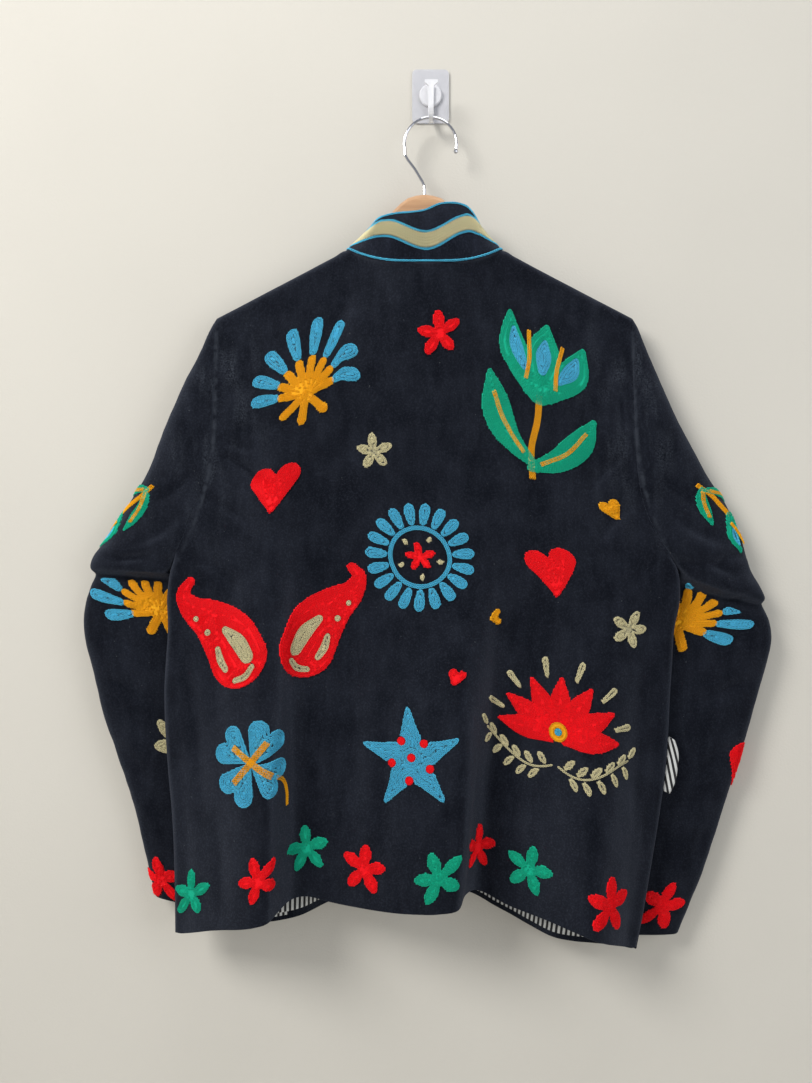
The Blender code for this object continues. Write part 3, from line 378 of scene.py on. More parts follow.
@dataclass
class ClothGrid:
    """Middle surface of a cloth wall: rows of points and of outward unit normals."""

    points: np.ndarray
    normals: np.ndarray
    ring_from: int | None = None

    def __post_init__(self) -> None:
        """Measure the cloth along its rows and down its columns."""
        self.measure()

    def measure(self) -> None:
        """Lengths of cloth across each row and down each column, from the first point."""
        across = np.linalg.norm(np.diff(self.points, axis=1), axis=2)
        down = np.linalg.norm(np.diff(self.points, axis=0), axis=2)
        self.across = np.pad(np.cumsum(across, axis=1), ((0, 0), (1, 0)))
        self.down = np.pad(np.cumsum(down, axis=0), ((1, 0), (0, 0)))

    def refined(self, step: float) -> ClothGrid:
        """A finer grid through the same points.

        Args:
            step: the longest distance wanted between neighbours.

        Returns:
            The finer grid, with its own normals inside and the given ones at its edges.
        """
        points, normals, ring_from = self.points, self.normals, self.ring_from
        for axis in (0, 1):
            points = np.moveaxis(points, axis, 0)
            normals = np.moveaxis(normals, axis, 0)
            chords = np.median(np.linalg.norm(np.diff(points, axis=0), axis=2), axis=1)
            at = np.concatenate(([0.0], np.cumsum(np.maximum(chords, SHORTEST_STEP))))
            parts = []
            for start, end in zip(at, at[1:]):
                count = max(1, math.ceil((end - start) / step))
                parts.append(np.linspace(start, end, count, endpoint=False))
            fine = np.concatenate(parts + [at[-1:]])
            if axis == 0 and ring_from is not None:
                ring_from = int(np.searchsorted(fine, at[ring_from] - 1e-6))
            points = np.moveaxis(hermite(at, points, fine), 0, axis)
            normals = np.moveaxis(hermite(at, normals, fine), 0, axis)
        return ClothGrid(points, unit(normals), ring_from).faced()

    def faced(self) -> ClothGrid:
        """Work the normals out again inside the grid, and keep those near its edges."""
        fresh = grid_normals(self.points, self.ring_from)
        if np.sum(fresh * self.normals) < 0:
            fresh = -fresh
        rows, columns = self.points.shape[:2]
        from_top = np.minimum(np.arange(rows), np.arange(rows)[::-1])[:, None]
        from_side = np.minimum(np.arange(columns), np.arange(columns)[::-1])[None, :]
        share = np.minimum(from_top, from_side) / EDGE_BLEND
        if self.ring_from is not None:
            share[self.ring_from + 2:, :] = np.minimum(from_top[self.ring_from + 2:] / EDGE_BLEND, 1)
        share = np.broadcast_to(np.clip(share, 0, 1), (rows, columns))[..., None]
        self.normals = unit(self.normals * (1 - share) + fresh * share)
        return self

    def crease(self, table: dict[str, tuple], face: int, edge: float = 14.0) -> None:
        """Press soft troughs into one side of the cloth.

        Args:
            table: rows of CREASE_COLUMNS.
            face: -1 for the viewer's side, 1 for the wall's side.
            edge: how far from the grid's edges they fade in.
        """
        x, z = self.points[..., 0], self.points[..., 2]
        weight = ease(face * self.normals[..., 1] * 2) * self.inset(edge)
        amount = np.zeros_like(x)
        for row in table.values():
            c = named(row, CREASE_COLUMNS)
            ax, az = c["x1"] - c["x0"], c["z1"] - c["z0"]
            length = math.hypot(ax, az)
            along = ((x - c["x0"]) * ax + (z - c["z0"]) * az) / length**2
            held = np.clip(along, 0, 1)
            off = ((z - c["z0"]) * ax - (x - c["x0"]) * az) / length
            off = (off - c["bow"] * 4 * held * (1 - held)) / c["width"]
            taper = np.sin(math.pi * held) ** 0.8
            amount -= c["depth"] * (1 - 0.8 * off**2) * np.exp(-(off**2)) * taper
        self.move(amount * weight)

    def ripple(self, size: float, depth: float, seed: int, edge: float = 10.0, waves: int = 9) -> None:
        """Lay a slight unevenness over the cloth.

        Args:
            size: about how far apart its humps are.
            depth: about how high they are.
            seed: fixes the humps.
            edge: how far from the grid's edges they fade in.
            waves: how many long waves are added up.
        """
        draw = np.random.default_rng(seed)
        u, v = self.across, self.down
        amount = np.zeros_like(u)
        for _ in range(waves):
            angle, phase = draw.uniform(0, math.pi), draw.uniform(0, 2 * math.pi)
            wave = 2 * math.pi / (size * draw.uniform(0.7, 1.8))
            amount += np.sin((u * math.cos(angle) + v * math.sin(angle)) * wave + phase) / 4
        self.move(amount * depth * self.inset(edge))

    def inset(self, edge: float) -> np.ndarray:
        """0 at the grid's open edges, 1 from the given distance in."""
        top = np.minimum(self.down, self.down[-1:] - self.down)
        side = np.minimum(self.across, self.across[:, -1:] - self.across)
        if self.ring_from is not None:
            side[self.ring_from:] = edge
        return ease(np.minimum(top, side) / edge)

    def move(self, amount: np.ndarray) -> None:
        """Move each point along its normal, then measure and face the cloth again."""
        if self.ring_from is not None:
            ends = (amount[self.ring_from:, 0] + amount[self.ring_from:, -1]) / 2
            amount[self.ring_from:, 0] = amount[self.ring_from:, -1] = ends
        self.points = self.points + self.normals * amount[..., None]
        self.faced()
        self.measure()

    def find(self, x: float, z: float, face: int = -1) -> tuple[float, float]:
        """The row and column that show at (x, z).

        Args:
            x: place across.
            z: height.
            face: -1 to look from the viewer's side, 1 from the wall's side.

        Returns:
            Row and column of the nearest point on the near side of the cloth.
        """
        far = (self.points[..., 0] - x) ** 2 + (self.points[..., 2] - z) ** 2
        far = far - face * 0.5 * self.points[..., 1]
        far = np.where(self.normals[..., 1] * face > FACING, far, far + FAR**2)
        row, col = np.unravel_index(np.argmin(far), far.shape)
        return float(row), float(col)

    def sample(self, rows: np.ndarray, cols: np.ndarray) -> tuple[np.ndarray, np.ndarray]:
        """Points and normals at fractional rows and columns.

        Args:
            rows: fractional rows.
            cols: fractional columns.

        Returns:
            The points and the normals.
        """
        r = np.clip(np.floor(rows).astype(int), 0, self.points.shape[0] - 2)
        c = np.clip(np.floor(cols).astype(int), 0, self.points.shape[1] - 2)
        fr, fc = (rows - r)[:, None], (cols - c)[:, None]
        found = []
        for grid in (self.points, self.normals):
            top = grid[r, c] * (1 - fc) + grid[r, c + 1] * fc
            low = grid[r + 1, c] * (1 - fc) + grid[r + 1, c + 1] * fc
            found.append(top * (1 - fr) + low * fr)
        return found[0], unit(found[1])

    def lay(self, anchor: tuple[float, float], face: int, offsets: np.ndarray) -> tuple:
        """Carry flat offsets onto the cloth, measured along it.

        Args:
            anchor: row and column that the offsets start from.
            face: -1 on the viewer's side, 1 on the wall's side.
            offsets: (right, up) pairs as seen from that side.

        Returns:
            Points, normals, and whether each lies on the cloth.
        """
        row, col = anchor
        count = self.points.shape[1]
        here = self.points[int(row)]
        near, next_to = int(max(col - 1, 0)), int(min(col + 1, count - 1))
        sign = np.sign(here[next_to, 0] - here[near, 0]) * -face
        down = self.down[:, int(round(col))]
        want = down[int(row)] - offsets[:, 1]
        rows = np.interp(want, down, np.arange(len(down)))
        on = (want > down[0] + EDGE_MARGIN) & (want < down[-1] - EDGE_MARGIN)
        low = np.clip(np.floor(rows).astype(int), 0, len(down) - 2)
        part = rows - low
        cols = np.empty(len(rows))
        index = np.arange(count)
        for k in range(len(rows)):
            line = self.across[low[k]] * (1 - part[k]) + self.across[low[k] + 1] * part[k]
            place = np.interp(col, index, line) + sign * offsets[k, 0]
            cols[k] = np.interp(place, line, index)
            on[k] &= line[0] + EDGE_MARGIN < place < line[-1] - EDGE_MARGIN
        points, normals = self.sample(rows, cols)
        return points, normals, on

    def solid(self, name: str, thick: float, finishes: Sequence[Material],
              turn_up: float = 0.0) -> bpy.types.Object:
        """The cloth as a closed wall with soft rims and a map of its own lengths.

        Args:
            name: the piece's name.
            thick: the wall's thickness.
            finishes: material of the outer side and of the inner side.
            turn_up: how much of the inner side above the hem is the outer cloth, turned up.

        Returns:
            The new object.
        """
        rows, columns = self.points.shape[:2]
        start = rows if self.ring_from is None else self.ring_from
        mesh = bmesh.new()
        layers = []
        for offset in (thick / 2, -thick / 2):
            moved = (self.points + self.normals * offset) * METRES
            layer = []
            for i in range(rows):
                count = columns if i < start else columns - 1
                line = [mesh.verts.new(moved[i, j]) for j in range(count)]
                layer.append(line + line[:1] * (columns - count))
            layers.append(layer)
        outer, inner = layers
        uv = mesh.loops.layers.uv.new("cloth")

        def quad(corners: list, places: list, slot: int) -> None:
            """Add one face with its places on the cloth."""
            made = mesh.faces.new(corners)
            made.material_index, made.smooth = slot, True
            for loop, (i, j) in zip(made.loops, places):
                loop[uv].uv = (self.across[i, j] * METRES, -self.down[i, j] * METRES)

        for i in range(rows - 1):
            for j in range(columns - 1):
                at = cell_corners(i, j)
                quad([outer[r][c] for r, c in at], at, 0)
                turned = self.down[-1, j] - self.down[i, j] < turn_up
                quad([inner[r][c] for r, c in at[::-1]], at[::-1], 0 if turned else 1)
        rim = [(0, j) for j in range(columns if start > 0 else 0)]
        rim += [(i, columns - 1) for i in range(1, min(rows, start + 1))]
        last = [(rows - 1, j) for j in range(columns)]
        if start < rows:
            rim += [(i, 0) for i in range(min(rows - 1, start), 0, -1)] + rim[:1]
            self.rim(mesh, outer, inner, rim, quad)
            self.rim(mesh, outer, inner, last[::-1], quad)
        else:
            rim += last[-2::-1] + [(i, 0) for i in range(rows - 2, -1, -1)]
            self.rim(mesh, outer, inner, rim, quad)
        return finish_mesh(name, mesh, finishes)

    def rim(self, mesh: bmesh.types.BMesh, outer: list, inner: list, path: list, quad: Callable) -> None:
        """Close one open edge of the wall with a soft ridge.

        Args:
            mesh: the mesh that is being made.
            outer: vertices of the outer side.
            inner: vertices of the inner side.
            path: (row, column) places round the edge, the last one the first again.
            quad: adds one face.
        """
        rows, columns = self.points.shape[:2]
        crest, done = [], {}
        for k, (i, j) in enumerate(path):
            key = id(outer[i][j])
            if key not in done:
                inside = self.points[min(max(i, 1), rows - 2), min(max(j, 1), columns - 2)]
                if self.ring_from is not None and i >= self.ring_from:
                    inside = self.points[min(i, rows - 2), j]
                out = self.points[i, j] - inside
                out = out - self.normals[i, j] * np.dot(out, self.normals[i, j])
                out = unit(out) * RIM_SOFTNESS
                done[key] = mesh.verts.new((self.points[i, j] + out) * METRES)
            crest.append(done[key])
        for k in range(len(path) - 1):
            (i, j), (m, n) = path[k], path[k + 1]
            if outer[i][j] is outer[m][n]:
                continue
            at = [(i, j), (i, j), (m, n), (m, n)]
            quad([outer[i][j], crest[k], crest[k + 1], outer[m][n]], at, 0)
            quad([crest[k], inner[i][j], inner[m][n], crest[k + 1]], at, 0)


def finish_mesh(name: str, mesh: bmesh.types.BMesh, finishes: Sequence[Material],
                sharp: float = 60.0) -> bpy.types.Object:
    """Turn a mesh in progress into a named piece.

    Args:
        name: the piece's name.
        mesh: the closed mesh, which is freed.
        finishes: one material for each slot.
        sharp: angle in degrees above which an edge stays sharp.

    Returns:
        The new object, linked to the scene.
    """
    if mesh.calc_volume(signed=True) < 0:
        bmesh.ops.reverse_faces(mesh, faces=mesh.faces[:])
    data = bpy.data.meshes.new(name)
    mesh.to_mesh(data)
    mesh.free()
    data.shade_smooth()
    data.set_sharp_from_angle(angle=math.radians(sharp))
    for finish in finishes:
        data.materials.append(finish)
    return linked(name, data)



class Panel(Enum):
    """The three body panels."""

    BACK = "back"
    FRONT_LEFT = "front_left"
    FRONT_RIGHT = "front_right"

    @property
    def sign(self) -> int:
        """-1 where the panel's outer side faces the viewer, 1 where it faces the wall."""
        return -1 if self is Panel.BACK else 1

    @property
    def column(self) -> str:
        """The hem table's column for this panel."""
        return "back" if self is Panel.BACK else "front"

    @property
    def pipes(self) -> dict[str, tuple]:
        """The panel's hanging folds."""
        return BACK_PIPES if self is Panel.BACK else FRONT_PIPES


@dataclass
class BodyCut:
    """Form of the jacket's body, the same as its solids have."""

    middle: float = -7.0
    shoulder_half: float = 223.0
    neck_half: float = 84.0
    neck_z: float = -177.0
    tip_z: float = -250.0
    underarm_z: float = -516.0
    low_edge_z: float = -900.0
    back_neck_dip: float = 20.0
    back_neck_depth: float = 27.0
    front_neck_drop: float = 78.0
    back_neck_round: tuple[float, float] = (2.4, 0.45)
    front_neck_round: tuple[float, float] = (1.6, 0.08)
    front_y: float = -12.2
    front_opening: float = 6.0
    front_flat: float = 92.0
    front_turn: float = 54.0
    hanger_y: float = -21.0
    shoulder_roll: float = 7.6
    half_seam: float = 0.2
    tip_tilt: float = math.radians(40)
    underarm_tilt: float = math.radians(68)
    roll_start: float = 20.0
    nape_start: float = -200.0
    nape_run: float = 220.0
    nape_stand: float = 2.0
    nape_settle: float = 3.0
    nape_width: float = 60.0
    nape_spread: float = 130.0
    fold_foot: float = -900.0
    fold_edge: float = 34.0
    armhole_steps: tuple = (0, 5, 10.5, 18, 29, 45, 76, 108, 141, 175, 208, 236, 256, 265.5, 1000)
    body_rows: int = 12
    edge_steps: tuple = (0, 5, 10, 16, 25)
    back_columns: int = 9
    front_columns: int = 6
    neck_columns: int = 14

    def side(self, name: str, z: float) -> float:
        """A column of the side outline at height z."""
        heights = column(SIDE, SIDE_COLUMNS, "z")[::-1]
        return float(hermite(heights, column(SIDE, SIDE_COLUMNS, name)[::-1], z))

    def hem_z(self, panel: Panel, x: float) -> float:
        """Height of a panel's hem at x."""
        at = column(HEM, HEM_COLUMNS, "x")
        return float(hermite(at, column(HEM, HEM_COLUMNS, panel.column), x))

    def shoulder_z(self, x: float) -> float:
        """Height of the shoulder seam at x."""
        share = (abs(x - self.middle) - self.neck_half) / (self.shoulder_half - self.neck_half)
        return self.neck_z + (self.tip_z - self.neck_z) * share

    def top_z(self, panel: Panel, x: float) -> float:
        """Height of a panel's top edge: the shoulder seam, then the neck line.

        Args:
            panel: the panel.
            x: place across.

        Returns:
            The height.
        """
        q = abs(x - self.middle) / self.neck_half
        if q >= 1:
            return self.shoulder_z(x)
        if panel is Panel.BACK:
            return self.neck_z - self.back_neck_dip * (1 - q ** self.back_neck_round[0])
        return self.neck_z - self.front_neck_drop * (1 - q ** self.front_neck_round[0])

    def flat_y(self, panel: Panel, x: float, z: float) -> float:
        """Depth of a panel without its folds.

        Args:
            panel: the panel.
            x: place across.
            z: height.

        Returns:
            The depth.
        """
        d = abs(x - self.middle)
        middle, half = self.side("middle", z), self.side("half", z)
        if panel is Panel.BACK:
            down = float(ease((self.nape_start - z) / self.nape_run))
            nape = self.hanger_y - self.back_neck_depth - self.nape_stand + self.nape_settle * down
            width = self.nape_width + self.nape_spread * down
            return middle - half + (nape - middle + half) * math.exp(-((d / width) ** 2))
        turned = float(ease((d - self.front_flat) / self.front_turn))
        return self.front_y + (middle + half - self.front_y) * turned

    def top_y(self, panel: Panel, x: float) -> float:
        """Depth of a panel's top edge, on the hanger along the shoulder.

        Args:
            panel: the panel.
            x: place across.

        Returns:
            The depth.
        """
        inside = max(0.0, 1 - (abs(x - self.middle) / self.neck_half) ** 2)
        if panel is Panel.BACK:
            return self.hanger_y - self.half_seam - self.back_neck_depth * inside ** self.back_neck_round[1]
        flat = self.front_y - self.hanger_y - self.half_seam
        return self.hanger_y + self.half_seam + flat * inside ** self.front_neck_round[1]

    def fold(self, pipes: dict[str, tuple], x: float, z: float, inside: float) -> tuple[float, float]:
        """Depth and sideways lean that the hanging folds add at (x, z).

        Args:
            pipes: rows of PIPE_COLUMNS.
            x: place across.
            z: height.
            inside: distance in from the panel's edge.

        Returns:
            The depth and the lean.
        """
        depth = lean = 0.0
        for row in pipes.values():
            p = named(row, PIPE_COLUMNS)
            down = (p["start"] - z) / (p["start"] - self.fold_foot)
            offset = x - (p["top"] + (p["foot"] - p["top"]) * down)
            width = p["left"] if offset < 0 else p["right"]
            grown = float(ease((p["start"] - z) / (p["start"] - p["full"])))
            shape = grown * math.exp(-((offset / width) ** 2)) * float(ease(inside / self.fold_edge))
            depth += p["depth"] * shape
            lean += p["lean"] * shape * shape
        return depth, lean

    def edge_turn(self, z: float) -> float:
        """How far a panel's edge has turned round the side, 0 flat to a quarter turn."""
        return math.pi / 2 * float(ease((self.underarm_z + self.roll_start - z) / self.roll_start))

    def place(self, z: float, share: float) -> tuple[float, float, float]:
        """Place across at the height z of the edge: x, edge roll and distance in.

        Args:
            z: height of the row at the panel's edges.
            share: place across, from 0 to 1.

        Returns:
            The place, the roll and the distance.
        """
        turn, half = self.edge_turn(z), self.side("half", z)
        left = self.side("left", z) + half * math.sin(turn)
        right = self.side("right", z) - half * math.sin(turn)
        arc = half * turn
        width = right - left + 2 * arc
        s = share * width
        if s < arc:
            return left, turn - s / half, s
        if s > width - arc:
            return right, -(turn - (width - s) / half), width - s
        return left + s - arc, 0.0, min(s, width - s)

    @property
    def armhole_run(self) -> float:
        """Length of cloth from the shoulder seam to the underarm."""
        return self.tip_z - self.underarm_z + (math.pi / 2 - 1) * self.shoulder_roll

    def point(self, panel: Panel, share: float, row_z: float, down: tuple[str, float]) -> np.ndarray:
        """A point of a panel's middle surface.

        Args:
            panel: the panel.
            share: place across, from 0 to 1.
            row_z: the row's height at the panel's edges.
            down: the row's place, as ("arm", distance) or ("side", share).

        Returns:
            The point.
        """
        edge_x, roll, inside = self.place(row_z, share)
        top_x = self.place(self.tip_z, share)[0]
        bend = math.pi / 2
        if down[0] == "arm":
            top = self.top_z(panel, top_x)
            curl = (math.pi / 2 - 1) * self.shoulder_roll
            length = down[1] * (top - self.underarm_z + curl) / self.armhole_run
            bend = min(length / self.shoulder_roll, math.pi / 2)
            straight = max(0.0, length - self.shoulder_roll * math.pi / 2)
            z = top - self.shoulder_roll * (1 - math.cos(bend)) - straight
        else:
            z = self.underarm_z + (self.hem_z(panel, edge_x) - self.underarm_z) * down[1]
        middle, half = self.side("middle", z), self.side("half", z)
        if roll:
            y = middle + panel.sign * (half * math.cos(roll) + self.half_seam * abs(math.sin(roll)))
            return np.array([edge_x - half * math.sin(roll), y, z])
        depth, lean = self.fold(panel.pipes, edge_x, z, inside)
        y = self.flat_y(panel, edge_x, z) + panel.sign * depth
        start = self.top_y(panel, top_x)
        return np.array([edge_x + lean * math.sin(bend), start + (y - start) * math.sin(bend), z])

    def rows(self) -> list[tuple]:
        """Every row of a panel: its height at the edge, its place down and its bend."""
        rows = []
        for step in self.armhole_steps:
            step = min(step, self.armhole_run)
            bend = min(step / self.shoulder_roll, math.pi / 2)
            straight = max(0.0, step - self.shoulder_roll * math.pi / 2)
            z = self.tip_z - self.shoulder_roll * (1 - math.cos(bend)) - straight
            rows.append((z, ("arm", step), bend))
        for i in range(1, self.body_rows + 1):
            rows.append((None, ("side", i / self.body_rows), math.pi / 2))
        return rows

    def shares(self, panel: Panel) -> list[float]:
        """Places across of a panel's columns; the fronts end at the centre front.

        Args:
            panel: the panel.

        Returns:
            A share from 0 to 1 for each column.
        """
        width, first = 2 * self.shoulder_half, self.edge_steps[-1]
        count = self.back_columns if panel is Panel.BACK else self.front_columns
        step = (self.shoulder_half - self.neck_half - first) / count
        outer = list(self.edge_steps) + [first + step * i for i in range(1, count + 1)]
        angles = [math.pi * i / self.neck_columns for i in range(1, self.neck_columns)]
        neck = [self.shoulder_half - self.neck_half * math.cos(angle) for angle in angles]
        if panel is Panel.BACK:
            return [s / width for s in outer + neck + [width - s for s in reversed(outer)]]
        neck = neck[: self.neck_columns // 2]
        neck[-1] = self.shoulder_half - self.front_opening
        left = [s / width for s in outer + neck]
        return left if panel is Panel.FRONT_LEFT else [1 - s for s in reversed(left)]

    def grid(self, panel: Panel) -> ClothGrid:
        """The panel's middle surface, with its seam edges turned as they are sewn.

        Args:
            panel: the panel.

        Returns:
            The panel's grid.
        """
        shares, rows = self.shares(panel), self.rows()
        points = np.zeros((len(rows), len(shares), 3))
        for i, (edge_z, down, _) in enumerate(rows):
            for j, share in enumerate(shares):
                z = edge_z
                if z is None:
                    near = self.side("left" if share < 0.5 else "right", self.low_edge_z)
                    z = self.underarm_z + (self.hem_z(panel, near) - self.underarm_z) * down[1]
                points[i, j] = self.point(panel, share, z, down)
        normals = grid_normals(points)
        if np.mean(normals[..., 1]) * panel.sign < 0:
            normals = -normals
        slope = math.atan2(self.neck_z - self.tip_z, self.shoulder_half - self.neck_half)
        for j in range(len(shares)):
            x = points[0, j, 0] - self.middle
            if abs(x) > self.neck_half - 1:
                normals[0, j] = (math.copysign(math.sin(slope), x), 0, math.cos(slope))
        edges = []
        if panel is not Panel.FRONT_RIGHT:
            edges.append((0, -1))
        if panel is not Panel.FRONT_LEFT:
            edges.append((-1, 1))
        for j, outward in edges:
            for i, (edge_z, _, bend) in enumerate(rows):
                turn = self.edge_turn(points[i, j, 2])
                tilt = self.underarm_tilt if edge_z is not None else 0.0
                out = math.sin(turn) * math.cos(tilt) + math.cos(bend) * math.sin(self.tip_tilt)
                up = math.cos(bend) * math.cos(self.tip_tilt) - math.sin(turn) * math.sin(tilt)
                toward = panel.sign * math.cos(turn) * math.sin(bend)
                normals[i, j] = unit(np.array([outward * out, toward, up]))
        return ClothGrid(points, normals)


@dataclass
class SleeveCut:
    """Form of one sleeve, from the armhole seam to the cuff."""

    body: BodyCut
    upper: dict[str, tuple]
    lower: dict[str, tuple]
    outward: int
    columns: int = 20
    seam_gap: float = 0.35
    seam_top_step: int = 2
    soft_fold: float = 0.33
    swell: float = 1.6
    square_swell: float = 0.6
    square_z: float = -440.0
    behind_y: float = -30.0
    behind_slope: float = 2.4

    def seam(self, back: ClothGrid, front: ClothGrid) -> tuple[np.ndarray, np.ndarray]:
        """The sleeve's side of the armhole seam: up the back, then down the front.

        Args:
            back: the back panel's own grid.
            front: the front panel's own grid.

        Returns:
            The seam's points and the normals there.
        """
        j = 0 if self.outward < 0 else -1
        rows = len(self.body.armhole_steps)
        line = np.concatenate((back.points[rows - 1:: -1, j], front.points[:rows, j]))
        normals = np.concatenate((back.normals[rows - 1:: -1, j], front.normals[:rows, j]))
        out = unit(np.cross(normals, np.gradient(line, axis=0)))
        out *= np.where(out[:, :1] * self.outward < 0, -1, 1)
        return line + out * self.seam_gap, normals

    def upper_side(self, seam: np.ndarray, outer: np.ndarray, bulge: float) -> list[np.ndarray]:
        """Points from the armhole seam to the outer fold, on one side.

        Args:
            seam: the point on the seam.
            outer: the point on the outer fold.
            bulge: how far the cloth swells, negative towards the viewer.

        Returns:
            The points, the seam's first.
        """
        under = self.body.underarm_z
        even = float(ease((seam[2] - under) / (self.square_z - under)))
        power = self.soft_fold + (1 - self.soft_fold) * even
        beyond = (seam[1] - outer[1]) * math.copysign(1, bulge)
        points, half = [], self.columns // 2
        for i in range(half + 1):
            sine = math.sin(math.pi / 2 * i / half)
            share = even * sine + (1 - even) * sine**2
            point = seam + (outer - seam) * share
            if beyond > 0:
                point[1] = outer[1] + (seam[1] - outer[1]) * math.sqrt(max(0.0, 1 - share * share))
            full = bulge * (self.swell + self.square_swell * even)
            point[1] += full * share**power * (1 - share) ** self.soft_fold
            points.append(point)
        return points

    def lower_side(self, inner: np.ndarray, outer: np.ndarray, bulge: float) -> list[np.ndarray]:
        """Points from the inner fold to the outer fold, on one side.

        Args:
            inner: the point on the inner fold.
            outer: the point on the outer fold.
            bulge: how far the cloth swells, negative towards the viewer.

        Returns:
            The points, the inner fold's first.
        """
        points, half = [], self.columns // 2
        for i in range(half + 1):
            share = math.sin(math.pi / 2 * i / half) ** 2
            point = inner + (outer - inner) * share
            point[1] += bulge * (4 * share * (1 - share)) ** self.soft_fold
            points.append(point)
        return points

    def behind_body(self, point: np.ndarray) -> None:
        """Keep a point of the lower sleeve on the wall side of the body."""
        edge = self.body.side("left" if self.outward < 0 else "right", point[2])
        outside = max(0.0, (point[0] - edge) * self.outward - 1)
        point[1] = max(point[1], self.behind_y - self.behind_slope * outside)

    def grid(self, back: ClothGrid, front: ClothGrid) -> ClothGrid:
        """The sleeve's middle surface.

        The upper rows run from the back armhole edge round the outer fold to the front
        armhole edge, and the rows below the underarm are rings.

        Args:
            back: the back panel's own grid.
            front: the front panel's own grid.

        Returns:
            The sleeve's grid.
        """
        seam, turned = self.seam(back, front)
        rows, half = len(self.body.armhole_steps), self.columns // 2
        first, last = rows - 1 - self.seam_top_step, rows + self.seam_top_step
        length = run_along(seam[first:last + 1])
        at = np.linspace(0, length[-1], self.columns + 1)
        top = [np.interp(at, length, seam[first:last + 1, k]) for k in range(3)]
        facing = [np.interp(at, length, turned[first:last + 1, k]) for k in range(3)]
        grid = [list(np.stack(top, 1))]
        for k, row in enumerate(self.upper.values()):
            r = named(row, UPPER_COLUMNS)
            step = self.seam_top_step + 1 + k
            near, far = seam[rows - 1 - step], seam[rows + step]
            if step == rows - 1:
                near = far = (near + far) / 2
            outer = np.array([r["ox"], r["oy"], r["oz"]])
            view = self.upper_side(near, outer, -r["view"] - 1e-6)
            grid.append(view + self.upper_side(far, outer, r["wall"] + 1e-6)[-2::-1])
        for row in self.lower.values():
            r = named(row, LOWER_COLUMNS)
            outer = np.array([r["ox"], r["oy"], r["oz"]])
            inner = np.array([r["ix"], r["iy"], r["iz"]])
            view = self.lower_side(inner, outer, -r["view"])
            for i, point in enumerate(view):
                point[2] -= r["sag"] * math.sin(math.pi * i / half)
                self.behind_body(point)
            grid.append(view + self.lower_side(inner, outer, r["wall"])[-2::-1])
        points = np.array(grid)
        normals = grid_normals(points, ring_from=len(self.upper))
        if np.sum(normals * (points - points.mean(axis=1, keepdims=True))) < 0:
            normals = -normals
        normals[0] = unit(np.stack(facing, 1))
        for k in range(len(self.upper)):
            step = self.seam_top_step + 1 + k
            normals[k + 1, 0], normals[k + 1, -1] = turned[rows - 1 - step], turned[rows + step]
        return ClothGrid(points, normals, ring_from=len(self.upper))


@dataclass
class CollarCut:
    """Form of the stand collar, from its seam upwards."""

    body: BodyCut
    rows: int = 5
    seam_gap: float = 0.4

    def grid(self, back: ClothGrid, left: ClothGrid, right: ClothGrid) -> ClothGrid:
        """The collar's middle surface, round from centre front to centre front.

        Args:
            back: the back panel's own grid.
            left: the left front's own grid.
            right: the right front's own grid.

        Returns:
            The collar's grid, its seam first.
        """
        body = self.body
        at = len(body.edge_steps) - 1 + body.back_columns
        front_at = len(body.edge_steps) - 1 + body.front_columns
        half, count = body.neck_columns // 2, body.neck_columns
        parts = [(left, slice(None, front_at, -1)), (back, slice(at, at + count + 1)),
                 (right, slice(half - 1, None, -1))]
        base = np.concatenate([panel.points[0, where] for panel, where in parts])
        turned = np.concatenate([panel.normals[0, where] for panel, where in parts])
        for i in (half, half + count):
            base[i, 1] = body.hanger_y
        q = (base[:, 0] - body.middle) / body.neck_half
        share = np.clip(q, -1, 1)
        for i in range(len(q)):
            if not half <= i <= half + count:
                share[i] = math.copysign(2 - abs(q[i]), q[i])
        up = unit(np.cross(turned, np.gradient(base, axis=0)))
        up *= np.where(up[:, 2:] < 0, -1, 1)
        base = base + up * self.seam_gap
        edge = column(COLLAR_TOP, COLLAR_COLUMNS, "round")
        tops = [hermite(edge, column(COLLAR_TOP, COLLAR_COLUMNS, c), share) for c in "xyz"]
        top = np.stack(tops, 1)
        bulge = hermite(edge, column(COLLAR_TOP, COLLAR_COLUMNS, "bulge"), share)
        grid = []
        for t in np.linspace(0, 1, self.rows + 1):
            row = base + (top - base) * t
            row[:, 1] -= bulge * 4 * t * (1 - t)
            grid.append(row)
        points = np.array(grid)
        normals = grid_normals(points)
        if normals[2, len(base) // 2, 1] > 0:
            normals = -normals
        normals[0] = turned
        return ClothGrid(points, normals)
class Tree:
    """A node tree, and the one way in which nodes are added to it."""

    def __init__(self, tree: bpy.types.NodeTree) -> None:
        """Keep the tree."""
        self.tree = tree

    def node(self, kind: str, settings: dict | None = None, sockets: dict | None = None) -> bpy.types.Node:
        """Add one node.

        Args:
            kind: the node's type, without the prefix of a shader node.
            settings: attributes of the node, which are set first.
            sockets: a value, a Signal or a socket for each input, by name or number.

        Returns:
            The node.
        """
        prefix = "" if kind.startswith(("Geometry", "Function", "NodeGroup")) else "ShaderNode"
        node = self.tree.nodes.new(prefix + kind)
        for name, value in (settings or {}).items():
            setattr(node, name, value)
        for name, value in (sockets or {}).items():
            if isinstance(value, Signal):
                value = value.socket
            if isinstance(value, bpy.types.NodeSocket):
                self.tree.links.new(value, node.inputs[name])
            elif isinstance(value, tuple) and len(value) == 3 and node.inputs[name].type == "RGBA":
                node.inputs[name].default_value = (*value, 1.0)
            else:
                node.inputs[name].default_value = value
        return node


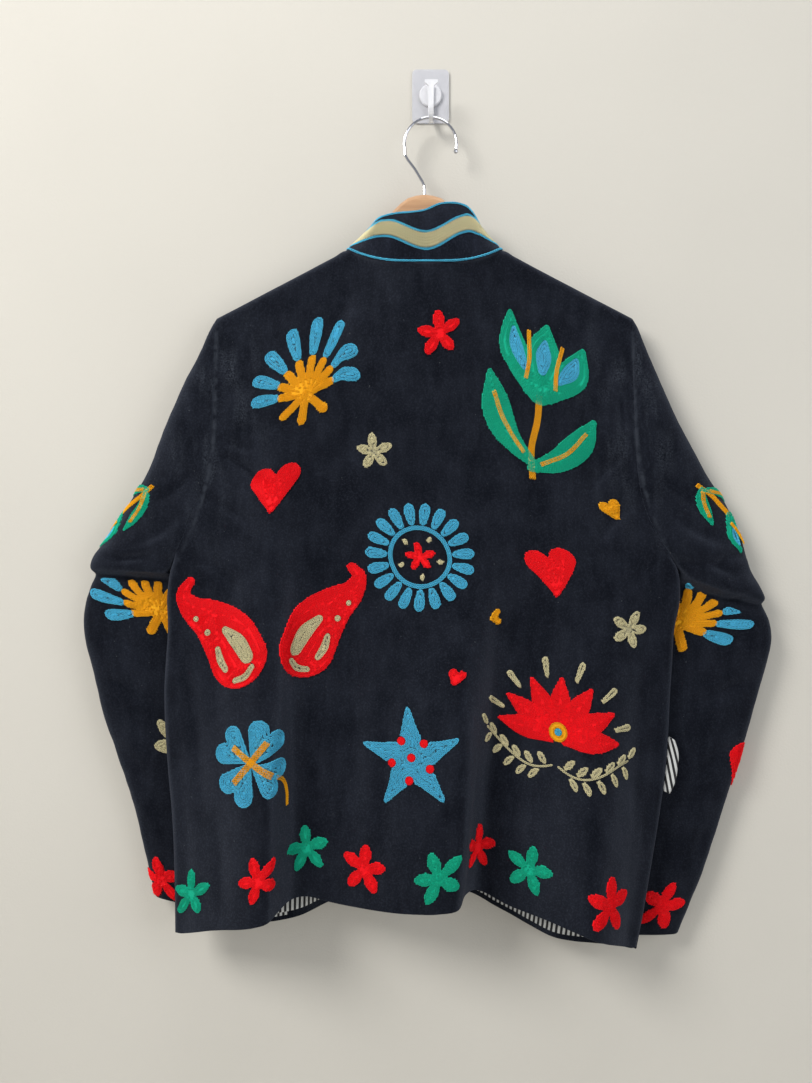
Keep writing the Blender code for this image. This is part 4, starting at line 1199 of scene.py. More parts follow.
class Signal:
    """A number that flows through a material; arithmetic on it adds Math nodes."""

    def __init__(self, graph: Graph, socket: bpy.types.NodeSocket) -> None:
        """Keep the graph and the socket that the number comes out of."""
        self.graph, self.socket = graph, socket

    def __add__(self, other: Signal | float) -> Signal:
        """Sum."""
        return self.graph.math("ADD", self, other)

    def __sub__(self, other: Signal | float) -> Signal:
        """Difference."""
        return self.graph.math("SUBTRACT", self, other)

    def __rsub__(self, other: float) -> Signal:
        """Difference from a plain number."""
        return self.graph.math("SUBTRACT", other, self)

    def __mul__(self, other: Signal | float) -> Signal:
        """Product."""
        return self.graph.math("MULTIPLY", self, other)

    __radd__ = __add__
    __rmul__ = __mul__

    def between(self, low: float, high: float) -> Signal:
        """0 at low, 1 at high and straight between, for either order of the two."""
        node = self.graph.node("MapRange", {"clamp": True}, {0: self, 1: low, 2: high, 3: 0.0, 4: 1.0})
        return Signal(self.graph, node.outputs[0])


class Graph(Tree):
    """Node tree of one material."""

    def __init__(self, name: str) -> None:
        """Start a material without nodes."""
        self.material = bpy.data.materials.new(name)
        self.material.use_nodes = True
        super().__init__(self.material.node_tree)
        self.tree.nodes.clear()

    def math(self, operation: str, first: Signal | float, second: Signal | float = 0.0) -> Signal:
        """One Math node."""
        node = self.node("Math", {"operation": operation}, {0: first, 1: second})
        return Signal(self, node.outputs[0])

    def noise(self, scale: float, detail: float = 2.0, stretch: Triple | None = None) -> Signal:
        """Soft noise on object coordinates, scale in humps a metre."""
        place = self.place()
        if stretch:
            place = self.node("Mapping", {}, {"Vector": place, "Scale": stretch}).outputs[0]
        node = self.node("TexNoise", {}, {"Vector": place, "Scale": scale, "Detail": detail})
        return Signal(self, node.outputs[0])

    def place(self) -> bpy.types.NodeSocket:
        """The piece's own coordinates."""
        return self.node("TexCoord").outputs["Object"]

    def parts(self, vector: bpy.types.NodeSocket) -> list[Signal]:
        """A vector's three numbers."""
        return [Signal(self, part) for part in self.node("SeparateXYZ", {}, {0: vector}).outputs]

    def mix(self, factor: Signal | float, first: object, second: object) -> bpy.types.NodeSocket:
        """Blend of two colours."""
        return self.node("Mix", {"data_type": "RGBA"}, {0: factor, 6: first, 7: second}).outputs[2]

    def bump(self, height: Signal, depth: float) -> bpy.types.NodeSocket:
        """Normals from a height in 0 to 1 that stands for depth metres."""
        return self.node("Bump", {}, {"Height": height, "Distance": depth, "Strength": 1.0}).outputs[0]


@dataclass(frozen=True)
class Finish:
    """A material with one Principled shader."""

    name: str

    def sockets(self, graph: Graph) -> dict:
        """The shader's inputs."""
        raise NotImplementedError

    def build(self) -> Material:
        """The material."""
        graph = Graph(self.name)
        shader = graph.node("BsdfPrincipled", {}, self.sockets(graph)).outputs[0]
        graph.node("OutputMaterial", {}, {"Surface": self.covered(graph, shader)})
        return graph.material

    def covered(self, graph: Graph, shader: bpy.types.NodeSocket) -> bpy.types.NodeSocket:
        """What the surface shows: the shader as it is."""
        return shader


@dataclass(frozen=True)
class VelvetFinish(Finish):
    """Cotton velvet: almost black with random paler nap, and a painted grey-blue sheen where the cloth turns
    sideways.
    """

    name: str = "velvet"
    deep: Triple = (0.0010, 0.0020, 0.0052)
    bloom: Triple = (0.0150, 0.0182, 0.0275)
    # raised: the painted sheen's grey-blue, laid where the cloth turns sideways
    raised: Triple = (0.030, 0.035, 0.049)
    lint: Triple = (0.16, 0.17, 0.18)
    patch_scale: float = 26.0
    brush_scale: float = 95.0
    pile_scale: float = 1500.0
    pile_depth: float = 0.00045
    dust_scale: float = 560.0
    lint_scale: float = 420.0
    lint_from: float = 0.795
    lint_strength: float = 0.35
    # Painted sheen: how far the normal turns off the wall's axis where the sheen starts and where it is full
    turned_from: tuple[float, float] = (0.008, 0.30)
    # Paler nap on the upper back and along the armhole seams: its tint, its spread from the middle and its
    # heights
    scuff: Triple = (0.034, 0.040, 0.052)
    scuffs_apart: tuple[float, float] = (0.135, 0.215)
    scuffs_end: tuple[float, float] = (0.33, 0.25)
    scuffs_low: tuple[float, float] = (-0.53, -0.36)
    scuffs_high: tuple[float, float] = (-0.2, -0.3)
    middle: float = -0.007
    seam_aside: float = 0.2235
    seam_turn: float = -0.36
    seam_bend: float = 1.65
    seam_width: float = 0.0035
    seam_core: float = 0.0008
    seam_low: tuple[float, float] = (-0.53, -0.44)
    seam_strength: float = 0.55

    def sockets(self, graph: Graph) -> dict:
        """The shader's inputs.

        Args:
            graph: the material's graph.

        Returns:
            What each input is set to.
        """
        patches = graph.noise(self.patch_scale, 5.0).between(0.36, 0.68)
        pile = graph.noise(self.pile_scale, 3.0)
        brushed = graph.noise(self.brush_scale, 4.0, (1.0, 1.0, 0.3)).between(0.4, 0.7)
        dust = graph.noise(self.dust_scale, 4.0).between(0.48, 0.64)
        shine = patches * 0.30 + brushed * 0.22 + dust * 0.36 + (pile - 0.5) * 0.9
        colour = graph.mix(shine, self.deep, self.bloom)
        facing = graph.parts(graph.node("NewGeometry").outputs["Normal"])
        # Painted sheen: the colour turns paler grey-blue where the cloth turns sideways, standing in for
        # velvet's grazing sheen
        turned = (1 - graph.math("ABSOLUTE", facing[1])).between(*self.turned_from)
        colour = graph.mix(turned * (dust * 0.4 + 0.6), colour, self.raised)
        # Paler nap in slanting streaks on the upper back and in lines along the armhole seams
        colour = graph.mix(self.worn(graph), colour, self.scuff)
        specks = graph.noise(self.lint_scale, 1.0).between(self.lint_from, self.lint_from + 0.03)
        return {
            "Base Color": graph.mix(specks * self.lint_strength, colour, self.lint),
            "Roughness": pile * 0.12 + 0.84, "Specular IOR Level": 0.12,
            "Normal": graph.bump(pile * 0.8 + brushed * 0.6, self.pile_depth),
            "Sheen Weight": 0.065, "Sheen Roughness": 0.30, "Sheen Tint": (0.62, 0.70, 0.92),
        }

    def worn(self, graph: Graph) -> Signal:
        """Where the nap is paler: slanting streaks on the upper back, and lines along the armhole seams.

        Args:
            graph: the material's graph.

        Returns:
            How pale, 0 to 1.
        """
        x, _, height = graph.parts(graph.place())
        aside = graph.math("ABSOLUTE", x - self.middle)
        near = aside.between(*self.scuffs_apart) * aside.between(*self.scuffs_end)
        near = near * height.between(*self.scuffs_low) * height.between(*self.scuffs_high)
        streaks = graph.noise(60.0, 5.0, (1.0, 1.0, 0.25)).between(0.5, 0.72)
        grain = graph.noise(650.0, 3.0).between(0.4, 0.65)
        below = graph.math("MAXIMUM", self.seam_turn - height, 0.0)
        seam = graph.math("ABSOLUTE", aside - self.seam_aside - below * below * self.seam_bend)
        seam_paleness = seam.between(self.seam_width, self.seam_core) * height.between(*self.seam_low)
        seam_paleness = seam_paleness * graph.noise(110.0, 3.0).between(0.38, 0.6)
        return graph.math("MAXIMUM", near * streaks * grain, seam_paleness * self.seam_strength)


@dataclass(frozen=True)
class StripedCottonFinish(Finish):
    """Plain woven cotton with narrow black stripes down the cloth."""

    name: str = "striped_cotton"
    pale: Triple = (0.60, 0.61, 0.60)
    soil: Triple = (0.42, 0.42, 0.40)
    dark: Triple = (0.012, 0.012, 0.014)
    period: float = 0.0052
    black_share: float = 0.5
    soft_edge: float = 0.03
    thread: float = 0.00045

    def sockets(self, graph: Graph) -> dict:
        """The shader's inputs.

        Args:
            graph: the material's graph.

        Returns:
            What each input is set to.
        """
        across, down, _ = graph.parts(graph.node("UVMap", {"uv_map": "cloth"}).outputs[0])
        wander = (graph.noise(60.0, 2.0) - 0.5) * 0.16
        phase = graph.math("FRACT", across * (1 / self.period) + wander)
        half = self.black_share / 2
        stripe = graph.math("ABSOLUTE", phase - 0.5).between(half + self.soft_edge, half - self.soft_edge)
        warp, weft = (graph.math("SINE", way * (2 * math.pi / self.thread)) for way in (across, down))
        weave = warp * weft * 0.5 + 0.5
        pale = graph.mix(graph.noise(35.0, 4.0).between(0.35, 0.75) * 0.35, self.pale, self.soil)
        return {
            "Base Color": graph.mix(stripe, pale, self.dark), "Roughness": weave * 0.1 + 0.82,
            "Normal": graph.bump(weave, 0.00012), "Specular IOR Level": 0.25,
            "Sheen Weight": 0.1, "Sheen Roughness": 0.5,
        }


@dataclass(frozen=True)
class ThreadFinish(Finish):
    """Soft stranded cotton thread of one colour, or the filling under it with small holes, which is given a
    darker colour as painted shade.
    """

    colour: Triple
    shade: float = 0.82
    strand_scale: float = 900.0
    specks: float = 0.0
    hole: Triple = (0.008, 0.011, 0.02)

    def sockets(self, graph: Graph) -> dict:
        """The shader's inputs.

        Args:
            graph: the material's graph.

        Returns:
            What each input is set to.
        """
        strands = graph.noise(self.strand_scale, 3.0)
        lots = graph.noise(45.0, 3.0).between(0.3, 0.75)
        dark = tuple(c * self.shade for c in self.colour)
        colour = graph.mix(strands.between(0.3, 0.62) * 0.7 + lots * 0.3, dark, self.colour)
        if self.specks:
            colour = graph.mix(graph.noise(480.0, 1.0).between(0.54, 0.60) * self.specks, colour, self.hole)
        return {
            "Base Color": colour, "Roughness": strands * 0.2 + 0.62,
            "Normal": graph.bump(strands, 0.0005), "Specular IOR Level": 0.2,
            "Sheen Weight": 0.03, "Sheen Roughness": 0.4,
        }


@dataclass(frozen=True)
class WoodFinish(Finish):
    """Pale varnished wood with its grain along the hanger."""

    name: str = "hanger_wood"
    light: Triple = (0.56, 0.33, 0.175)
    dark: Triple = (0.37, 0.185, 0.085)

    def sockets(self, graph: Graph) -> dict:
        """The shader's inputs."""
        grain = graph.noise(130.0, 6.0, (0.07, 1.0, 1.0)).between(0.35, 0.7)
        pores = graph.noise(900.0, 3.0, (0.04, 1.0, 1.0))
        colour = graph.mix(grain * 0.6 + pores.between(0.45, 0.75) * 0.35, self.light, self.dark)
        return {
            "Base Color": colour, "Roughness": grain * 0.12 + 0.34,
            "Normal": graph.bump(pores, 0.00008), "Coat Weight": 0.35, "Coat Roughness": 0.18,
        }


@dataclass(frozen=True)
class ChromeFinish(Finish):
    """Bright chromed wire."""

    name: str = "hook_wire"
    colour: Triple = (0.52, 0.52, 0.55)
    dull: Triple = (0.33, 0.33, 0.36)

    def sockets(self, graph: Graph) -> dict:
        """The shader's inputs."""
        haze = graph.noise(700.0, 3.0, (1.0, 1.0, 0.2))
        colour = graph.mix(haze.between(0.3, 0.8) * 0.3, self.colour, self.dull)
        return {"Base Color": colour, "Metallic": 1.0, "Roughness": haze * 0.14 + 0.08}


@dataclass(frozen=True)
class ClearPlasticFinish(Finish):
    """Clear moulded plastic, a little grey where light runs along it."""

    name: str = "clear_plate"
    colour: Triple = (0.86, 0.86, 0.90)
    through: float = 0.5
    cloudy: Triple = (0.66, 0.66, 0.71)

    def sockets(self, graph: Graph) -> dict:
        """The shader's inputs."""
        haze = graph.noise(180.0, 3.0)
        return {
            "Base Color": graph.mix(haze.between(0.3, 0.8) * 0.25, self.colour, self.cloudy),
            "Roughness": haze * 0.08 + 0.06, "Transmission Weight": self.through, "IOR": 1.49,
            "Coat Weight": 0.3, "Coat Roughness": 0.05,
        }


@dataclass(frozen=True)
class PlasterFinish(Finish):
    """Matt painted wall or floor, clear from behind where the fronts are looked at through it."""

    colour: Triple
    clear_behind: bool = False

    def sockets(self, graph: Graph) -> dict:
        """The shader's inputs."""
        tone = tuple(c * 0.96 for c in self.colour)
        colour = graph.mix(graph.noise(3.0, 2.0).between(0.3, 0.7), self.colour, tone)
        grain = graph.bump(graph.noise(420.0, 4.0), 0.0002)
        return {"Base Color": colour, "Roughness": 0.85, "Normal": grain, "Specular IOR Level": 0.2}

    def covered(self, graph: Graph, shader: bpy.types.NodeSocket) -> bpy.types.NodeSocket:
        """What the surface shows: the shader, from the front only where it is clear behind."""
        if not self.clear_behind:
            return shader
        behind = graph.node("NewGeometry").outputs["Backfacing"]
        clear = graph.node("BsdfTransparent").outputs[0]
        return graph.node("MixShader", {}, {0: behind, 1: shader, 2: clear}).outputs[0]




@dataclass
class Jacket:
    """Velvet shell of the jacket, and the striped cotton that shows inside it."""

    velvet: Material
    collar_velvet: Material
    cotton: Material
    thick: float = 2.0
    lining: float = 1.0
    lining_gap: float = 0.7
    body_step: float = 4.2
    front_step: float = 5.2
    sleeve_step: float = 4.4
    collar_step: float = 3.0
    hem_turn: float = 9.0
    band_hem: float = 9.0
    band_height: float = 34.0
    band_rows: int = 9
    ripples: tuple = ((58.0, 0.42, 40), (21.0, 0.16, 60))
    pocket_top: float = -697.0
    pocket_foot: float = -753.0
    pocket_reach: float = 12.0
    pocket_mouth: float = 1.6
    pocket_half: float = 2.2
    pocket_sag: float = 3.0
    pocket_stand: float = 1.2
    pocket_ends: tuple[float, float] = (0.13, 0.87)
    pocket_grid: tuple[int, int] = (25, 21)
    pocket_slant: float = math.radians(-18)
    body: BodyCut = field(default_factory=BodyCut)
    grids: dict[str, ClothGrid] = field(default_factory=dict)

    def shape(self) -> None:
        """Work out the cloth of every panel, and put its creases in."""
        coarse = {panel: self.body.grid(panel) for panel in Panel}
        back, left, right = (coarse[p] for p in (Panel.BACK, Panel.FRONT_LEFT, Panel.FRONT_RIGHT))
        sleeve_left = SleeveCut(self.body, UPPER_LEFT, LOWER_LEFT, -1).grid(back, left)
        sleeve_right = SleeveCut(self.body, UPPER_RIGHT, LOWER_RIGHT, 1).grid(back, right)
        collar = CollarCut(self.body).grid(back, left, right)
        self.grids = {
            "back": back.refined(self.body_step),
            "front_left": left.refined(self.front_step),
            "front_right": right.refined(self.front_step),
            "sleeve_left": sleeve_left.refined(self.sleeve_step),
            "sleeve_right": sleeve_right.refined(self.sleeve_step),
            "collar": collar.refined(self.collar_step),
        }
        creases = (
            ("back", BACK_CREASES, -1), ("front_left", FRONT_CREASES, 1), ("front_right", FRONT_CREASES, 1),
            ("sleeve_left", SLEEVE_LEFT_VIEW, -1), ("sleeve_right", SLEEVE_RIGHT_VIEW, -1),
            ("sleeve_left", SLEEVE_LEFT_WALL, 1), ("sleeve_right", SLEEVE_RIGHT_WALL, 1),
        )
        for name, table, face in creases:
            self.grids[name].crease(table, face)
        for seed, (name, grid) in enumerate(self.grids.items()):
            if name != "collar":
                for size, depth, first_seed in self.ripples:
                    grid.ripple(size, depth, first_seed + seed)

    def panel(self, name: str) -> None:
        """One velvet piece, attached to the body in place of its solid."""
        finishes, turn_up, slot = (self.velvet, self.cotton), self.hem_turn, "velvet"
        if name == "collar":
            finishes, turn_up, slot = (self.collar_velvet, self.collar_velvet), 0.0, "collar_velvet"
        piece = self.grids[name].solid(name + "_cloth", self.thick, finishes, turn_up)
        self.declare(piece, name, slot, self.grids[name])

    def declare(self, piece: bpy.types.Object, node: str, slot: str, grid: ClothGrid) -> None:
        """Say what a cloth piece rides on and stands for.

        Args:
            piece: the cloth piece.
            node: the solid that it stands for.
            slot: not used.
            grid: not used.
        """
        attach(piece, BODY)
        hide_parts(node)

    def band(self, name: str) -> None:
        """The striped lining inside a front, as the band that shows above its hem.

        Args:
            name: the front that it is sewn into.
        """
        front = self.grids[name]
        rows, columns = front.points.shape[:2]
        first, last = (2, columns - 1) if name.endswith("left") else (0, columns - 3)
        lift = self.thick / 2 + self.lining_gap + self.lining / 2
        steps = np.linspace(self.band_hem + self.band_height, self.band_hem, self.band_rows)
        points = np.zeros((len(steps), last - first + 1, 3))
        normals = np.zeros_like(points)
        for k, j in enumerate(range(first, last + 1)):
            down = front.down[:, j]
            at = np.interp(down[-1] - steps, down, np.arange(rows))
            place, facing = front.sample(at, np.full(len(at), float(min(j, columns - 1))))
            points[:, k], normals[:, k] = place - facing * lift, facing
        grid = ClothGrid(points, normals)
        piece = grid.solid("lining_" + name + "_band", self.lining, (self.cotton, self.cotton))
        self.declare(piece, "lining_" + name, "striped_cotton", grid)

    def pocket(self) -> None:
        """The edge of the pocket bag that peeps out of the right side seam."""
        first, last = self.pocket_ends
        rows, columns = self.pocket_grid
        points = np.zeros((rows, columns, 3))
        for i in range(rows):
            t = i / (rows - 1)
            z = self.pocket_top + (self.pocket_foot - self.pocket_top) * t
            swell = self.pocket_reach * math.sin(math.pi * (first + (last - first) * t)) ** 0.8
            swell *= 1 + 0.06 * math.sin(9 * t)
            for j in range(columns):
                v = j / (columns - 1)
                out = math.sin(math.pi * v)
                x = self.body.side("right", z) + self.pocket_stand + swell * out**0.7
                apart = self.pocket_mouth + self.pocket_half * abs(math.sin(2 * math.pi * v))
                aside = math.copysign(apart, v - 0.5) * min(1.0, abs(v - 0.5) * 10)
                points[i, j] = (x, self.body.side("middle", z) + aside, z - self.pocket_sag * out)
        normals = grid_normals(points)
        if normals[rows // 2, columns // 2, 0] < 0:
            normals = -normals
        grid = ClothGrid(points, normals)
        piece = grid.solid("pocket_lining_edge", self.lining, (self.cotton, self.cotton))
        c, s = math.cos(self.pocket_slant), math.sin(self.pocket_slant)
        for item in piece.data.uv_layers["cloth"].data:
            u, v = item.uv
            item.uv = (u * c - v * s, u * s + v * c)
        self.declare(piece, "pocket_lining", "striped_cotton", grid)

    def build(self) -> None:
        """Make and declare every cloth piece."""
        self.shape()
        for name in self.grids:
            self.panel(name)
        for name in ("front_left", "front_right"):
            self.band(name)
        self.pocket()


@dataclass
class Studio:
    """Pale wall and floor, soft lights and the camera."""

    eye: Triple = (-0.027, -1.05, -0.490)
    focal_pixels: float = 952.4
    image_height: float = 1083.0
    sensor: float = 36.0
    see_to: float = 50.0
    floor_z: float = -1.45
    wall_y: float = 0.0005
    reach: float = 4.0
    wall_colour: Triple = (0.575, 0.55, 0.495)
    floor_colour: Triple = (0.72, 0.70, 0.66)
    world: Triple = (0.80, 0.84, 0.90)
    world_strength: float = 0.46

    def plane(self, name: str, corners: list, finish: Material) -> None:
        """One flat backdrop."""
        data = bpy.data.meshes.new(name)
        data.from_pydata(corners, [], [(0, 1, 2, 3)])
        data.materials.append(finish)
        linked(name, data)

    def light(self, name: str, place: Triple, aim: Triple, size: float, power: float,
              colour: Triple) -> None:
        """One soft area light."""
        data = bpy.data.lights.new(name, "AREA")
        data.shape, data.size, data.energy, data.color = "DISK", size, power, colour
        item = linked(name, data)
        item.location = place
        item.rotation_euler = (Vector(aim) - Vector(place)).to_track_quat("-Z", "Y").to_euler()

    def build(self) -> None:
        """Camera first, then the room and its lights."""
        data = bpy.data.cameras.new("view")
        data.sensor_width, data.lens = self.sensor, self.focal_pixels / self.image_height * self.sensor
        data.clip_end = self.see_to
        camera = linked("view", data)
        camera.location, camera.rotation_euler = self.eye, (math.pi / 2, 0, 0)
        bpy.context.scene.camera = camera
        r, y, z = self.reach, self.wall_y, self.floor_z
        wall = PlasterFinish("wall_paint", self.wall_colour, True).build()
        floor = PlasterFinish("floor_paint", self.floor_colour).build()
        self.plane("wall", [(-r, y, z), (r, y, z), (r, y, r), (-r, y, r)], wall)
        self.plane("floor", [(-r, -r, z), (r, -r, z), (r, r, z), (-r, r, z)], floor)
        self.light("key", (-1.6, -1.65, 0.95), (0, -0.05, -0.5), 1.1, 64.0, (1.0, 0.985, 0.96))
        self.light("fill", (1.9, -1.5, -0.1), (0, -0.05, -0.5), 1.8, 17.0, (0.93, 0.96, 1.0))
        self.light("top", (0.2, -0.55, 1.5), (0, -0.05, -0.4), 1.0, 11.5, (1.0, 1.0, 1.0))
        world = bpy.data.worlds.new("sky")
        world.use_nodes = True
        ground = world.node_tree.nodes["Background"]
        ground.inputs[0].default_value = (*self.world, 1.0)
        ground.inputs[1].default_value = self.world_strength
        bpy.context.scene.world = world
        bpy.context.scene.view_settings.view_transform = "Standard"


class Thread(Enum):
    """Thread colours, as linear red, green and blue."""

    RED = (1.0, 0.001, 0.008)
    BLUE = (0.09, 0.54, 0.80)
    GOLD = (0.95, 0.43, 0.004)
    GREEN = (0.001, 0.47, 0.28)
    CREAM = (0.74, 0.67, 0.40)

    @property
    def label(self) -> str:
        """The colour's name."""
        return self.name.lower()

    @property
    def dense(self) -> bool:
        """Whether the rows lie so close that no velvet shows between them."""
        return self in (Thread.RED, Thread.GREEN, Thread.GOLD)


@dataclass(frozen=True)
class Limb:
    """A round-ended shape along a run of circles: (right, up, radius)."""

    circles: tuple

    @property
    def nodes(self) -> np.ndarray:
        """The circles, with more between them on a smooth curve."""
        nodes = np.array(self.circles, float)
        if len(nodes) < 3:
            return nodes
        run = run_along(nodes)
        return hermite(run, nodes, np.linspace(0, run[-1], 5 * len(nodes) - 4))

    def depth(self, at: np.ndarray) -> np.ndarray:
        """How far inside the shape points are, negative outside."""
        best = np.full(at.shape[:-1], -FAR)
        nodes = self.nodes
        for a, b in zip(nodes, nodes[1:]):
            run = b[:2] - a[:2]
            t = np.clip(((at - a[:2]) @ run) / max(run @ run, 1e-9), 0, 1)
            near = a[:2] + t[..., None] * run
            best = np.maximum(best, a[2] + t * (b[2] - a[2]) - np.linalg.norm(at - near, axis=-1))
        return best

    def box(self) -> tuple:
        """Lowest and highest corners."""
        nodes = self.nodes
        return (nodes[:, :2] - nodes[:, 2:]).min(0), (nodes[:, :2] + nodes[:, 2:]).max(0)

    def placed(self, carry: Callable, size: float) -> Limb:
        """The same shape somewhere else."""
        return Limb(tuple((*carry((x, y)), r * size) for x, y, r in self.circles))


@dataclass(frozen=True)
class Patch:
    """An area filled with rows of stitches that follow its edge."""

    thread: Thread
    shapes: tuple
    holes: tuple = ()

    def depth(self, at: np.ndarray) -> np.ndarray:
        """How far inside the patch points are, negative outside."""
        inside = np.max([shape.depth(at) for shape in self.shapes], axis=0)
        for hole in self.holes:
            inside = np.minimum(inside, -hole.depth(at))
        return inside


@dataclass(frozen=True)
class Row:
    """One or more rows of stitches side by side along a line."""

    thread: Thread
    line: tuple
    count: int = 1
    raised: float = 0.0


@dataclass(frozen=True)
class Motif:
    """Patches and rows about the motif's own middle."""

    patches: tuple = ()
    rows: tuple = ()

    def placed(self, turn: float = 0.0, size: float = 1.0, mirror: bool = False,
               right: float = 0.0, up: float = 0.0) -> Motif:
        """The motif turned (degrees), sized, mirrored and moved.

        Args:
            turn: degrees to the left.
            size: how many times larger.
            mirror: whether it is mirrored first.
            right: how far it moves right.
            up: how far it moves up.

        Returns:
            The new motif.
        """
        c, s = math.cos(math.radians(turn)) * size, math.sin(math.radians(turn)) * size
        flip = -1 if mirror else 1

        def carry(point: tuple) -> tuple:
            """One point's new place."""
            x, y = point[0] * flip, point[1]
            return right + x * c - y * s, up + x * s + y * c

        def moved(limbs: tuple) -> tuple:
            """All of them at their new places."""
            return tuple(limb.placed(carry, size) for limb in limbs)

        patches = tuple(replace(p, shapes=moved(p.shapes), holes=moved(p.holes)) for p in self.patches)
        rows = tuple(replace(r, line=tuple(carry(p) for p in r.line)) for r in self.rows)
        return Motif(patches, rows)

    def __add__(self, other: Motif) -> Motif:
        """Both motifs together."""
        return Motif(self.patches + other.patches, self.rows + other.rows)


def ray(angle: float, circles: Sequence[tuple[float, float]]) -> Limb:
    """A limb along a direction in degrees, from (distance, radius) pairs."""
    c, s = math.cos(math.radians(angle)), math.sin(math.radians(angle))
    return Limb(tuple((d * c, d * s, r) for d, r in circles))


def dot(right: float, up: float, radius: float) -> Limb:
    """A round spot."""
    return Limb(((right, up, radius), (right + 0.01, up, radius)))


def star_flower(thread: Thread, seed: int = 0) -> Motif:
    """Five soft petals of a hand-drawn flower, 1 from the middle to a tip."""
    draw = np.random.default_rng(seed)
    petals = []
    for k in range(5):
        angle = 90 + 72 * k + draw.uniform(-6, 6)
        reach = draw.uniform(0.84, 0.98)
        circles = ((0, 0.13), (0.3 * reach, 0.16), (0.6 * reach, 0.235), (0.87 * reach, 0.15))
        petals.append(ray(angle, circles))
    return Motif((Patch(thread, tuple(petals)),))


def heart(thread: Thread) -> Motif:
    """A plain heart, 1 from its middle to its side."""
    tip = (0.05, -1.0, 0.07)
    left = Limb(((-0.5, 0.36, 0.49), tip))
    right = Limb(((0.5, 0.40, 0.47), tip))
    middle = Limb(((0.02, 0.10, 0.42), tip))
    return Motif((Patch(thread, (left, right, middle)),))


PALMETTE_RAYS = 8
PALMETTE_SPREAD = (172, 12)


def palmette() -> Motif:
    """A fan of gold rays with blue tips over three short ones, 1 to the longest tip."""
    gold, blue = [], []
    first, last = PALMETTE_SPREAD
    for k in range(PALMETTE_RAYS):
        t = k / (PALMETTE_RAYS - 1)
        reach = 0.74 + 0.26 * math.sin(math.pi * t)
        angle = first + (last - first) * t
        gold.append(ray(angle, ((0, 0.045), (0.46 * reach, 0.056))))
        blue.append(ray(angle, ((0.565 * reach, 0.056), (0.85 * reach, 0.087), (0.92 * reach, 0.084))))
    for angle, reach in ((218, 0.36), (264, 0.34), (315, 0.36)):
        gold.append(ray(angle, ((0, 0.048), (reach, 0.058))))
    return Motif((Patch(Thread.GOLD, tuple(gold)),) + tuple(Patch(Thread.BLUE, (b,)) for b in blue))


def tulip() -> Motif:
    """A green bloom with blue inside, on a gold stem between two leaves, 180 high."""
    leaves = (Limb(((0, -74, 5), (-26, -56, 12), (-48, -22, 15), (-60, 14, 3))),
              Limb(((0, -80, 5), (26, -66, 12), (50, -38, 15), (64, -4, 3))))
    bloom = (Limb(((0, 6, 15), (0, 40, 22), (0, 84, 4))),
             Limb(((-8, 10, 14), (-36, 44, 17), (-44, 78, 4))),
             Limb(((8, 10, 14), (36, 44, 17), (44, 78, 4))))
    blue = (Limb(((-20, 26, 4), (-33, 46, 8.5), (-38, 64, 3))),
            Limb(((20, 26, 4), (33, 46, 8.5), (38, 64, 3))),
            Limb(((0, 30, 5), (0, 48, 9), (0, 66, 3))))
    green = (Patch(Thread.GREEN, bloom, blue),) + tuple(Patch(Thread.GREEN, (leaf,)) for leaf in leaves)
    fills = tuple(Patch(Thread.BLUE, (b,)) for b in blue)
    rows = (Row(Thread.GOLD, ((2, -92), (-2, -60), (1, -25), (0, 2)), 3),
            Row(Thread.GOLD, ((-17, 14), (-16, 36), (-20, 70)), 2, 1.1),
            Row(Thread.GOLD, ((17, 14), (16, 36), (20, 70)), 2, 1.1),
            Row(Thread.GOLD, ((-10, -66), (-34, -42), (-52, -8)), 2, 1.1),
            Row(Thread.GOLD, ((10, -74), (36, -54), (56, -22)), 2, 1.1))
    return Motif(green + fills, rows)


def paisley() -> Motif:
    """A red paisley drop with cream marks, 124 high."""
    drop = Limb(((-6, -30, 31), (-4, -8, 29), (8, 18, 20), (22, 38, 12), (24, 54, 7), (12, 62, 4.5)))
    eye = Limb(((-16, -34, 7), (-12, -16, 8), (-2, 2, 4)))
    marks = (Limb(((10, -36, 3.4), (13, -24, 4.2), (12, -12, 3))), dot(16, 8, 3.6), dot(22, 26, 3.2))
    drops = Limb(((-18, -46, 3), (-8, -52, 3.4), (4, -51, 3)))
    holes = (eye, drops) + marks
    return Motif((Patch(Thread.RED, (drop,), holes),) + tuple(Patch(Thread.CREAM, (h,)) for h in holes))


def rosette() -> Motif:
    """A ring of blue petals round a small red flower, 58 from its middle to a tip."""
    petals = []
    for k in range(19):
        angle = 360 * k / 19
        petals.append(Patch(Thread.BLUE, (ray(angle, ((37, 3.4), (48, 5.6), (52, 5.4))),)))
    ring = tuple((31 * math.cos(a), 31 * math.sin(a)) for a in np.linspace(0, 2 * math.pi, 49))
    flower = star_flower(Thread.RED, 5).placed(size=17)
    dots = tuple(Patch(Thread.CREAM, (ray(54 + 72 * k, ((20, 2.4), (23, 2.4))),)) for k in range(5))
    return Motif(tuple(petals), (Row(Thread.BLUE, ring, 2),)) + flower + Motif(dots)


def clover() -> Motif:
    """A blue four-leaf clover with a gold cross and stem, 100 high."""
    whole = Motif()
    for turn, size in ((45, 24), (135, 23), (225, 24), (315, 22)):
        c, s = math.cos(math.radians(turn)), math.sin(math.radians(turn))
        whole += heart(Thread.BLUE).placed(turn - 90, size, right=25 * c, up=25 * s)
    cross = (Row(Thread.GOLD, ((-24, -17), (-6, -4), (22, 18)), 3, 1.0),
             Row(Thread.GOLD, ((-18, 20), (-4, 6), (20, -20)), 3, 1.0),
             Row(Thread.GOLD, ((26, -24), (34, -30), (40, -44), (40, -64)), 2))
    return whole + Motif((), cross)


